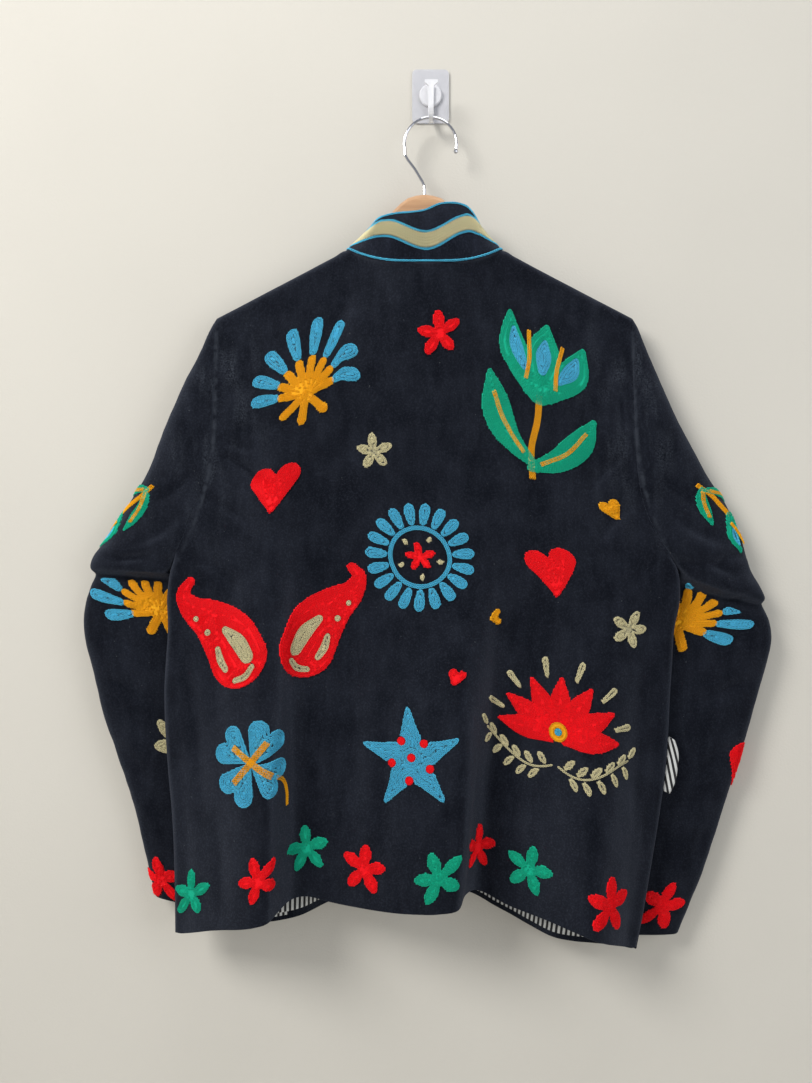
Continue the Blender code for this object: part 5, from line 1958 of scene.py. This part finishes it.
def dotted_star() -> Motif:
    """A blue five-pointed star with red dots, 55 from its middle to a point."""
    arms = tuple(ray(92 + 72 * k, ((0, 20), (26, 9.5), (51, 2.4))) for k in range(5))
    spots = tuple(dot(21 * math.cos(a), 21 * math.sin(a), 4.6)
                  for a in np.radians([50, 118, 190, 262, 334])) + (dot(0, 2, 4.6),)
    return Motif((Patch(Thread.BLUE, arms, spots),) + tuple(Patch(Thread.RED, (s,)) for s in spots))


def lotus() -> Motif:
    """An open red flower over two cream branches, 150 across."""
    petals = []
    for angle, reach in ((90, 60), (61, 62), (119, 62), (33, 64), (147, 64), (8, 62), (172, 62)):
        petals.append(ray(angle, ((6, 6), (0.55 * reach, 10.5), (0.97 * reach, 2))))
    seed = (dot(0, 6, 9.5),)
    patches = tuple(Patch(Thread.RED, (p,), seed) for p in petals)
    patches += (Patch(Thread.GOLD, seed, (dot(0, 6, 4),)), Patch(Thread.BLUE, (dot(0, 6, 4),)))
    rows, leaves = [], []
    for side in (-1, 1):
        stem = [(side * (3 + 16 * t), -27 - 5 * math.sin(t * 1.1) - 2.0 * t + 1.35 * t * t)
                for t in np.linspace(0, 4.5, 12)]
        rows.append(Row(Thread.CREAM, tuple(stem), 1))
        for k in range(1, 12):
            x, y = stem[k]
            up = 1 if k % 2 else -1
            middle, tip = (x + side * 5, y + up * 8, 3.4), (x + side * 8.5, y + up * 13, 1.2)
            leaves.append(Patch(Thread.CREAM, (Limb(((x, y + up * 2.5, 1.3), middle, tip)),)))
    for angle in (76, 104, 47, 133, 20, 160):
        leaves.append(Patch(Thread.CREAM, (ray(angle, ((60, 2.0), (76, 3.3))),)))
    return Motif(patches + tuple(leaves), tuple(rows)).placed(up=-2)


def petite(thread: Thread) -> Motif:
    """A pair of short petals, 1 long each."""
    petals = tuple(Limb(((0, 0, 0.42), tip)) for tip in ((-0.1, 0.95, 0.36), (0.85, 0.25, 0.36)))
    return Motif((Patch(thread, petals),))


MOTIFS = {
    "palmette": palmette,
    "red_flower": lambda: star_flower(Thread.RED, 11),
    "red_flower_2": lambda: star_flower(Thread.RED, 12),
    "green_flower": lambda: star_flower(Thread.GREEN, 13),
    "green_flower_2": lambda: star_flower(Thread.GREEN, 14),
    "cream_flower": lambda: star_flower(Thread.CREAM, 15),
    "red_heart": lambda: heart(Thread.RED),
    "gold_heart": lambda: heart(Thread.GOLD),
    "gold_petals": lambda: petite(Thread.GOLD),
    "tulip": tulip,
    "paisley": paisley,
    "rosette": rosette,
    "clover": clover,
    "dotted_star": dotted_star,
    "lotus": lotus,
    "edge_heart": lambda: heart(Thread.RED).placed(right=0.46),
}

# Where each motif is sewn: kind, place seen from outside, size, turn in degrees, mirrored
SEWN_COLUMNS = ("kind", "x", "z", "size", "turn", "mirror")
SEWN = {
    "back": (
        ("palmette", -133, -336, 81, 0, False),
        ("red_flower", 6.6, -272, 26, 8, False),
        ("tulip", 113.7, -338, 0.96, -7, False),
        ("cream_flower", -59.6, -395, 21, 10, False),
        ("cream_flower", 207, -583, 22, -14, True),
        ("red_heart", -164.6, -432, 27, 3, False),
        ("red_heart", 128.4, -519, 27, 8, True),
        ("gold_heart", 189.3, -457, 12.5, 20, False),
        ("gold_petals", 62, -570, 9, -40, False),
        ("red_heart", 22.4, -629, 9.5, -24, False),
        ("rosette", -12.3, -506, 1.0, 4, False),
        ("paisley", -217, -586, 1.04, 24, True),
        ("paisley", -118, -572, 1.02, -16, False),
        ("clover", -182, -714, 0.94, 6, False),
        ("dotted_star", -22.8, -712, 1.0, 0, False),
        ("lotus", 130.5, -690, 1.06, -3, False),
        ("red_flower_2", -176, -829, 25, 20, False),
        ("red_flower", -71, -826.5, 27, -8, True),
        ("red_flower_2", 45.5, -808.7, 25, 4, False),
        ("red_flower", 180, -859, 31, 12, False),
        ("green_flower", -248.6, -854, 26, -6, False),
        ("green_flower_2", -130, -809, 26, 12, True),
        ("green_flower", 4.5, -826.5, 28, 20, False),
        ("green_flower_2", 100, -830.7, 27, -10, False),
    ),
    "sleeve_left": (
        ("red_flower", -289.6, -852, 27, 5, False),
        ("palmette", -290, -565, 81, 13, False),
        ("tulip", -333, -462, 0.46, 148, False),
        ("cream_flower", -271, -709, 32, 30, False),
        ("red_flower_2", -214, -858, 26, 40, False),
        ("cream_flower", -262, -640, 20, 0, False),
    ),
    "sleeve_right": (
        ("red_flower", 246, -882, 29, -12, True),
        ("palmette", 263, -577, 88, -20, True),
        ("tulip", 318, -462, 0.46, -152, False),
        ("edge_heart", 330, -727, 25, -14, False),
        ("green_flower", 182, -868, 25, 0, False),
    ),
    "front_left": (
        ("palmette", -140, -352, 66, 4, False),
        ("red_heart", -96, -468, 26, -8, False),
        ("cream_flower", -188, -500, 21, 20, False),
        ("clover", -140, -612, 0.85, -8, True),
        ("dotted_star", -88, -726, 0.8, 12, False),
        ("cream_flower", -206, -716, 20, 0, False),
        ("red_flower", -222, -858, 26, 0, False),
        ("green_flower", -160, -842, 26, 14, False),
        ("red_flower_2", -98, -830, 26, -9, False),
        ("green_flower_2", -44, -820, 24, 8, False),
    ),
    "front_right": (
        ("dotted_star", 120, -350, 0.85, -6, False),
        ("gold_heart", 70, -452, 13, 10, False),
        ("red_heart", 168, -476, 26, 10, False),
        ("rosette", 112, -592, 0.86, 0, False),
        ("palmette", 140, -736, 60, -5, True),
        ("cream_flower", 56, -708, 20, 30, False),
        ("green_flower", 186, -868, 26, 0, False),
        ("red_flower", 124, -862, 26, 10, False),
        ("green_flower_2", 66, -838, 25, -12, False),
        ("red_flower_2", 20, -820, 18, 20, False),
    ),
}

# What the elbow folds hide, for motifs sewn below this height
BELOW_FOLDS = -500
FOLDS = {
    "sleeve_left": Limb(((-380, -465, 62), (-230, -467, 62))),
    "sleeve_right": Limb(((225, -434, 62), (261, -457, 62), (281, -473, 62), (315, -484, 62),
                          (370, -486, 62))),
}


def contours(heights: np.ndarray, level: float) -> list[np.ndarray]:
    """Closed lines where the values on a square grid cross a level.

    Args:
        heights: values, lower than the level all round its edge.
        level: the level.

    Returns:
        Loops of (column, row) places, each without its first point again.
    """
    high = heights > level
    corners = high[:-1, :-1].astype(int) + high[1:, :-1] + high[:-1, 1:] + high[1:, 1:]
    links: dict[tuple, list] = {}
    for i, j in np.argwhere((corners > 0) & (corners < 4)):
        ring, cuts = cell_corners(i, j), []
        for a, b in zip(ring, ring[1:] + ring[:1]):
            if high[a] != high[b]:
                cuts.append((min(a, b), max(a, b)))
        for a, b in zip(cuts[::2], cuts[1::2]):
            links.setdefault(a, []).append(b)
            links.setdefault(b, []).append(a)
    loops, seen = [], set()
    for start in links:
        if start in seen:
            continue
        loop, here = [], start
        while here is not None:
            seen.add(here)
            (i, j), (m, n) = here
            t = (level - heights[i, j]) / (heights[m, n] - heights[i, j])
            loop.append((j + (n - j) * t, i + (m - i) * t))
            here = next((k for k in links[here] if k not in seen), None)
        loops.append(np.array(loop))
    return loops


def stepped(line: np.ndarray, pitch: float, closed: bool) -> np.ndarray:
    """Places of equal steps along a line.

    Args:
        line: the line's points.
        pitch: the step wanted.
        closed: whether the line goes back to its first point.

    Returns:
        Places from the line's start to its end, both among them.
    """
    if closed:
        line = np.vstack((line, line[:1]))
    run = run_along(line)
    count = max(1, round(run[-1] / pitch))
    at = np.linspace(0, run[-1], count + 1)
    return np.stack([np.interp(at, run, line[:, k]) for k in range(line.shape[1])], 1)


@dataclass
class StitchLink:
    """One link of chain stitch: two soft strands that part and meet again."""

    spread: float = 0.29
    radius: float = 0.205
    rise: float = 0.10
    overlap: float = 0.16
    end_spread: float = 0.10
    end_size: float = 0.7
    sides: int = 3

    def mesh(self) -> bpy.types.Object:
        """The link, one unit long along X and one unit wide, as a loose object."""
        made = bmesh.new()
        for side in (-1, 1):
            rings = []
            end = 0.5 + self.overlap
            for x, out, size in ((-end, self.end_spread, self.end_size), (0.0, self.spread, 1.0),
                                 (end, self.end_spread, self.end_size)):
                ring = []
                for k in range(self.sides):
                    angle = math.pi / 2 + 2 * math.pi * k / self.sides
                    y = side * out + self.radius * size * math.cos(angle)
                    z = self.rise * size + self.radius * size * math.sin(angle)
                    ring.append(made.verts.new((x, y, z)))
                rings.append(ring)
            for a, b in zip(rings, rings[1:]):
                for k in range(self.sides):
                    after = (k + 1) % self.sides
                    made.faces.new((a[k], b[k], b[after], a[after]))
            made.faces.new(rings[0])
            made.faces.new(rings[-1][::-1])
        bmesh.ops.recalc_face_normals(made, faces=made.faces[:])
        data = bpy.data.meshes.new("stitch_link")
        made.to_mesh(data)
        made.free()
        data.shade_smooth()
        return bpy.data.objects.new("stitch_link", data)


class StitchTree(Tree):
    """Geometry Nodes that set one link on each point, along its row and off its cloth."""

    INPUTS = {"Link": "Object", "Width": "Float", "Unevenness": "Float", "Seed": "Int", "Thread": "Material"}
    VALUES = {"ahead": "FLOAT_VECTOR", "up": "FLOAT_VECTOR", "length": "FLOAT"}

    def __init__(self, link: bpy.types.Object) -> None:
        """Build the tree for a link object."""
        super().__init__(bpy.data.node_groups.new("chain_stitch", "GeometryNodeTree"))
        self.link = link
        face = self.tree.interface
        for way in ("INPUT", "OUTPUT"):
            face.new_socket("Geometry", in_out=way, socket_type="NodeSocketGeometry")
        self.inputs = {}
        for name, kind in self.INPUTS.items():
            made = face.new_socket(name, in_out="INPUT", socket_type="NodeSocket" + kind)
            self.inputs[name] = made.identifier
        given = self.node("NodeGroupInput").outputs
        ahead, up, length = (self.value(name) for name in self.VALUES)
        turn = "FunctionNodeAlignRotationToVector"
        along = self.node(turn, {"axis": "X"}, {"Vector": ahead}).outputs[0]
        upright = self.node(turn, {"axis": "Z", "pivot_axis": "X"}, {"Rotation": along, "Vector": up})
        low, high = (self.node("Math", {"operation": way}, {0: 1.0, 1: given["Unevenness"]}).outputs[0]
                     for way in ("SUBTRACT", "ADD"))
        drawn = self.node("FunctionNodeRandomValue", {"data_type": "FLOAT"},
                          {2: low, 3: high, "Seed": given["Seed"]}).outputs[1]
        width = self.node("Math", {"operation": "MULTIPLY"}, {0: drawn, 1: given["Width"]}).outputs[0]
        scale = self.node("CombineXYZ", {}, {0: length, 1: width, 2: width}).outputs[0]
        shape = self.node("GeometryNodeObjectInfo", {}, {"Object": given["Link"]}).outputs["Geometry"]
        spread = self.node("GeometryNodeInstanceOnPoints", {}, {
            "Points": given["Geometry"], "Instance": shape, "Rotation": upright.outputs[0], "Scale": scale,
        })
        real = self.node("GeometryNodeRealizeInstances", {}, {0: spread.outputs[0]}).outputs[0]
        sewn = self.node("GeometryNodeSetMaterial", {}, {"Geometry": real, "Material": given["Thread"]})
        self.node("NodeGroupOutput", {}, {0: sewn.outputs[0]})

    def value(self, name: str) -> bpy.types.NodeSocket:
        """A named value of each point."""
        kind = "GeometryNodeInputNamedAttribute"
        return self.node(kind, {"data_type": self.VALUES[name]}, {"Name": name}).outputs["Attribute"]

    def sew(self, name: str, points: np.ndarray, ahead: np.ndarray, up: np.ndarray,
            settings: dict) -> bpy.types.Object:
        """Turn rows of stitches into one plain mesh.

        Args:
            name: the piece's name.
            points: middle of each stitch.
            ahead: its direction and length.
            up: the way out of the cloth there.
            settings: the tree's inputs, apart from its link.

        Returns:
            The piece, linked to the scene.
        """
        data = bpy.data.meshes.new(name + "_points")
        data.from_pydata([tuple(p) for p in points * METRES], [], [])
        lengths = np.linalg.norm(ahead, axis=1) * METRES
        for (label, kind), values in zip(self.VALUES.items(), (ahead, up, lengths)):
            store = data.attributes.new(label, kind, "POINT")
            store.data.foreach_set("value" if kind == "FLOAT" else "vector",
                                   np.ascontiguousarray(values, np.float32).ravel())
        source = linked(name + "_points", data)
        modifier = source.modifiers.new("stitches", "NODES")
        modifier.node_group = self.tree
        for label, value in {"Link": self.link, **settings}.items():
            modifier[self.inputs[label]] = value
        view = bpy.context.evaluated_depsgraph_get()
        mesh = bpy.data.meshes.new_from_object(source.evaluated_get(view), depsgraph=view)
        mesh.name = name
        source.modifiers.remove(modifier)
        bpy.data.objects.remove(source)
        bpy.data.meshes.remove(data)
        for label in self.VALUES:
            if label in mesh.attributes:
                mesh.attributes.remove(mesh.attributes[label])
        mesh.shade_smooth()
        return linked(name, mesh)


@dataclass
class Embroidery:
    """Chain-stitched motifs and trims, sewn to the jacket's own surface."""

    jacket: Jacket
    cell: float = 1.0
    pad_cell: float = 2.0
    first_row: float = 1.15
    dense_gap: float = 2.3
    open_gap: float = 2.65
    dense_pitch: float = 2.8
    open_pitch: float = 3.3
    dense_width: float = 2.75
    open_width: float = 2.85
    last_row: float = 0.1
    shortest: float = 0.4
    shortest_loop: float = 0.9
    unevenness: float = 0.12
    first_seed: int = 100
    # Filling under the stitches: share of the thread's colour it keeps, darker as a painted shade between
    # the links, and share of dark velvet specks
    dense_ground: tuple[float, float] = (0.85, 0.0)
    open_ground: tuple[float, float] = (0.5, 0.9)
    lift: float = 0.25
    pad_rise: float = 0.75
    open_rise: float = 0.3
    pad_rim: float = 0.1
    pad_slope: float = 2.2
    pad_root: float = 0.6
    pad_inset: float = 0.3
    stitches: dict = field(default_factory=dict)
    pads: dict = field(default_factory=dict)

    def pad_height(self, thread: Thread, depth: np.ndarray) -> np.ndarray:
        """How thick the filling is under stitches that lie this far inside."""
        rise = self.pad_rise if thread.dense else self.open_rise
        return self.pad_rim + rise * (1 - np.exp(-np.maximum(depth, 0) / self.pad_slope))

    def field_of(self, patch: Patch, cell: float) -> tuple[np.ndarray, np.ndarray]:
        """The patch's depth on a square grid.

        Args:
            patch: the patch.
            cell: the grid's step.

        Returns:
            The depths, and the grid's lowest corner.
        """
        boxes = [shape.box() for shape in patch.shapes]
        low = np.min([b[0] for b in boxes], axis=0) - 2 * cell
        high = np.max([b[1] for b in boxes], axis=0) + 2 * cell
        across = np.arange(low[0], high[0] + cell, cell)
        up = np.arange(low[1], high[1] + cell, cell)
        at = np.stack(np.meshgrid(across, up), -1)
        return patch.depth(at), low

    def fill(self, patch: Patch) -> tuple[np.ndarray, np.ndarray, np.ndarray]:
        """Rows of stitches that follow the patch's edge inwards.

        Args:
            patch: the patch.

        Returns:
            Each stitch's start, end and depth inside the patch.
        """
        depth, low = self.field_of(patch, self.cell)
        gap = self.dense_gap if patch.thread.dense else self.open_gap
        pitch = self.dense_pitch if patch.thread.dense else self.open_pitch
        starts, ends, inside = [], [], []
        level = self.first_row
        while level < depth.max() - self.last_row:
            for loop in contours(depth, level):
                line = loop * self.cell + low
                around = np.linalg.norm(line - np.roll(line, 1, axis=0), axis=1).sum()
                if around < pitch * self.shortest_loop:
                    continue
                places = stepped(line, pitch, True)
                starts.append(places[:-1])
                ends.append(places[1:])
                inside.append(np.full(len(places) - 1, level))
            level += gap
        if not starts:
            return np.zeros((0, 2)), np.zeros((0, 2)), np.zeros(0)
        return np.vstack(starts), np.vstack(ends), np.concatenate(inside)

    def keep(self, name: str, thread: Thread, lay: Callable, starts: np.ndarray, ends: np.ndarray,
             heights: np.ndarray) -> None:
        """Lay stitches on the cloth and keep them for sewing.

        Args:
            name: the cloth's name.
            thread: the thread.
            lay: carries flat places onto the cloth.
            starts: where the stitches start.
            ends: where they end.
            heights: how far each lies off the cloth's face.
        """
        a, a_up, a_on = lay(starts)
        b, b_up, b_on = lay(ends)
        up = unit(a_up + b_up)
        on = a_on & b_on & (np.linalg.norm(b - a, axis=1) > self.shortest)
        off = self.jacket.thick / 2 + self.lift + heights
        middle = (a + b) / 2 + up * off[:, None]
        kept = self.stitches.setdefault((name, thread), [])
        kept.append((middle[on], (b - a)[on], up[on]))

    def pad(self, name: str, patch: Patch, lay: Callable) -> None:
        """Keep a low filling that closes the gaps between dense rows.

        Args:
            name: the cloth's name.
            patch: the patch that is filled.
            lay: carries flat places onto the cloth.
        """
        depth, low = self.field_of(patch, self.pad_cell)
        middles = (depth[:-1, :-1] + depth[1:, :-1] + depth[:-1, 1:] + depth[1:, 1:]) / 4
        cells = [cell_corners(i, j) for i, j in np.argwhere(middles > self.pad_inset)]
        if not cells:
            return
        index: dict[tuple, int] = {}
        for corners in cells:
            for corner in corners:
                index.setdefault(corner, len(index))
        flat = np.array([(j, i) for i, j in index]) * self.pad_cell + low
        place, up, on = lay(flat)
        inside = np.array([depth[key] for key in index])
        face = self.jacket.thick / 2
        top = place + up * (face + self.pad_height(patch.thread, inside))[:, None]
        foot = place + up * (face - self.pad_root)
        quads = [[index[corner] for corner in corners] for corners in cells]
        quads = [quad for quad in quads if on[quad].all()]
        self.pads.setdefault((name, patch.thread), []).append((top, foot, quads))

    def sew(self, name: str, row: tuple) -> None:
        """Sew one motif onto one cloth.

        Args:
            name: the cloth's name.
            row: a row of SEWN_COLUMNS.
        """
        r = named(row, SEWN_COLUMNS)
        face = 1 if name.startswith("front") else -1
        grid = self.jacket.grids[name]
        anchor = grid.find(r["x"], r["z"], face)
        motif = MOTIFS[r["kind"]]().placed(r["turn"], r["size"], r["mirror"])
        hidden = ()
        if name in FOLDS and r["z"] < BELOW_FOLDS:
            hidden = (FOLDS[name].placed(lambda p: (p[0] - r["x"], p[1] - r["z"]), 1.0),)

        def lay(offsets: np.ndarray) -> tuple:
            """Carry flat places onto this cloth."""
            return grid.lay(anchor, face, offsets)

        for whole in motif.patches:
            patch = replace(whole, holes=whole.holes + hidden)
            starts, ends, inside = self.fill(patch)
            if not len(starts):
                continue
            self.pad(name, patch, lay)
            self.keep(name, patch.thread, lay, starts, ends, self.pad_height(patch.thread, inside))
        for line in motif.rows:
            path = stepped(smooth_line(np.array(line.line, float)), self.dense_pitch, False)
            aside = unit(np.gradient(path, axis=0))[:, ::-1] * (-1, 1)
            for k in range(line.count):
                moved = path + aside * self.dense_gap * (k - (line.count - 1) / 2)
                heights = np.full(len(path) - 1, line.raised)
                self.keep(name, line.thread, lay, moved[:-1], moved[1:], heights)

    def finish(self) -> None:
        """Turn everything that was kept into pieces."""
        link = StitchLink().mesh()
        tree = StitchTree(link)
        finishes = {t: ThreadFinish("thread_" + t.label, t.value).build() for t in Thread}
        # Each filling is the thread's colour darkened, a painted shade between and under the stitches
        shaded_fillings = {}
        for thread in Thread:
            share, specks = self.dense_ground if thread.dense else self.open_ground
            under = tuple(c * share for c in thread.value)
            shaded_fillings[thread] = ThreadFinish("filling_" + thread.label, under, specks=specks).build()
        for seed, ((name, thread), kept) in enumerate(self.stitches.items()):
            middle, ahead, up = (np.vstack([part[k] for part in kept]) for k in range(3))
            width = self.dense_width if thread.dense else self.open_width
            settings = {
                "Width": width * METRES, "Unevenness": self.unevenness,
                "Seed": self.first_seed + seed, "Thread": finishes[thread],
            }
            self.declare(tree.sew(f"{name}_{thread.label}_stitches", middle, ahead, up, settings))
        for (name, thread), kept in self.pads.items():
            self.declare(self.pad_piece(f"{name}_{thread.label}_filling", kept, shaded_fillings[thread]))
        bpy.data.objects.remove(link)

    def declare(self, piece: bpy.types.Object) -> None:
        """Say what an embroidered piece rides on, and log its faces."""
        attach(piece, BODY)
        LOG.info("%s: %d faces", piece.name, len(piece.data.polygons))

    def pad_piece(self, name: str, kept: list, finish: Material) -> bpy.types.Object:
        """All fillings of one colour on one cloth, each a closed low cushion.

        Args:
            name: the piece's name.
            kept: what pad kept.
            finish: its material.

        Returns:
            The piece.
        """
        made = bmesh.new()
        for top, foot, quads in kept:
            used = sorted({k for quad in quads for k in quad})
            upper = {k: made.verts.new(top[k] * METRES) for k in used}
            lower = {k: made.verts.new(foot[k] * METRES) for k in used}
            edges: dict[tuple, tuple] = {}
            for quad in quads:
                made.faces.new([upper[k] for k in quad])
                made.faces.new([lower[k] for k in quad[::-1]])
                for a, b in zip(quad, quad[1:] + quad[:1]):
                    if (b, a) in edges:
                        del edges[(b, a)]
                    else:
                        edges[(a, b)] = (a, b)
            for a, b in edges:
                made.faces.new((upper[b], upper[a], lower[a], lower[b]))
        return finish_mesh(name, made, (finish,), 180.0)

    def build(self) -> None:
        """Sew every motif and trim."""
        for name, rows in SEWN.items():
            for row in rows:
                self.sew(name, row)
        CollarTrim(self).build()
        self.finish()


def smooth_line(points: np.ndarray) -> np.ndarray:
    """A smooth line through a few points."""
    run = run_along(points)
    fine = np.linspace(0, run[-1], max(2, round(run[-1] / LINE_STEP)) + 1)
    return hermite(run, points, fine)


@dataclass
class CollarTrim:
    """Blue cords and the waving cream band round the collar."""

    work: Embroidery
    wave: float = 97.5
    crest: float = -44.0
    middle: float = 0.52
    swing: float = 0.135
    half_band: float = 7.6
    edge_gap: float = 1.9
    upright: float = 3.3
    column_step: float = 2.55
    end_margin: float = 3.0
    low_cord: float = 1.3
    high_cord: float = 1.2

    def __post_init__(self) -> None:
        """Measure the collar."""
        self.grid = self.work.jacket.grids["collar"]
        rows, columns = self.grid.points.shape[:2]
        half = rows // 2
        self.run = self.grid.across[half]
        from_middle = np.abs(self.grid.points[half, :, 0] - self.work.jacket.body.middle)
        nape = np.argmin(from_middle + FAR * (self.grid.normals[half, :, 1] > 0))
        self.start = self.run[nape]
        self.columns, self.rows = columns, rows
        self.span = self.end_margin - self.start, self.run[-1] - self.end_margin - self.start

    def lay(self, places: np.ndarray) -> tuple:
        """Carry (distance from the nape, height over the seam) onto the collar."""
        cols = np.interp(places[:, 0] + self.start, self.run, np.arange(self.columns))
        rows = np.zeros(len(places))
        for k, col in enumerate(cols):
            down = self.grid.down[:, int(round(col))]
            rows[k] = np.interp(places[k, 1], down, np.arange(self.rows))
        points, normals = self.grid.sample(rows, cols)
        return points, normals, np.ones(len(places), bool)

    def height(self, s: np.ndarray) -> np.ndarray:
        """The collar's height at distances from the nape."""
        return np.interp(s + self.start, self.run, self.grid.down[-1])

    def line(self, thread: Thread, rise: Callable, raised: float, pitch: float) -> None:
        """One row of stitches round the collar at a height that varies.

        Args:
            thread: the thread.
            rise: gives heights at distances from the nape.
            raised: how far the row lies off the cloth.
            pitch: length of a stitch.
        """
        s = np.arange(*self.span, pitch)
        path = np.stack((s, rise(s)), 1)
        heights = np.full(len(path) - 1, raised)
        self.work.keep("collar", thread, self.lay, path[:-1], path[1:], heights)

    def centre(self, s: np.ndarray) -> np.ndarray:
        """Height of the band's middle at distances from the nape."""
        share = self.middle + self.swing * np.cos(2 * math.pi * (s - self.crest) / self.wave)
        return self.height(s) * share

    def build(self) -> None:
        """Sew the cords, the band's edges and its upright stitches."""
        self.line(Thread.BLUE, lambda s: np.full(len(s), self.low_cord), 0.35, 2.6)
        self.line(Thread.BLUE, lambda s: self.height(s) - self.high_cord, 0.1, 2.8)
        reach = self.half_band + self.edge_gap
        for side in (-1, 1):
            self.line(Thread.BLUE, lambda s, d=side * reach: self.centre(s) + d, 0.0, 3.2)
        s = np.arange(*self.span, self.column_step)
        middle = self.centre(s)
        count = round(2 * self.half_band / self.upright)
        for k in range(count):
            low = middle - self.half_band + k * 2 * self.half_band / count
            high = low + 2 * self.half_band / count
            starts, ends = np.stack((s, low), 1), np.stack((s, high), 1)
            self.work.keep("collar", Thread.CREAM, self.lay, starts, ends, np.zeros(len(s)))


def main() -> None:
    """Build the jacket, what holds it up, and the room around them."""
    logging.basicConfig(level=logging.INFO, format="%(name)s: %(message)s")
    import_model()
    Studio().build()
    collar_velvet = VelvetFinish("collar_velvet", bloom=(0.016, 0.020, 0.033))
    finishes = (VelvetFinish(), collar_velvet, StripedCottonFinish())
    jacket = Jacket(*(finish.build() for finish in finishes))
    jacket.build()
    Embroidery(jacket).build()
    hardware = {
        "hanger_body": WoodFinish(), "hanger_hook": ChromeFinish(), "wall_plate": ClearPlasticFinish(),
        "wall_disc": ClearPlasticFinish("clear_boss", (0.86, 0.86, 0.89), 0.3),
        "wall_hook": ClearPlasticFinish("clear_hook", (0.92, 0.92, 0.94), 0.3),
    }
    for node, finish in hardware.items():
        made = finish.build()
        for slot in bpy.data.objects[node].material_slots:
            slot.material = made


if __name__ == "__main__":
    main()
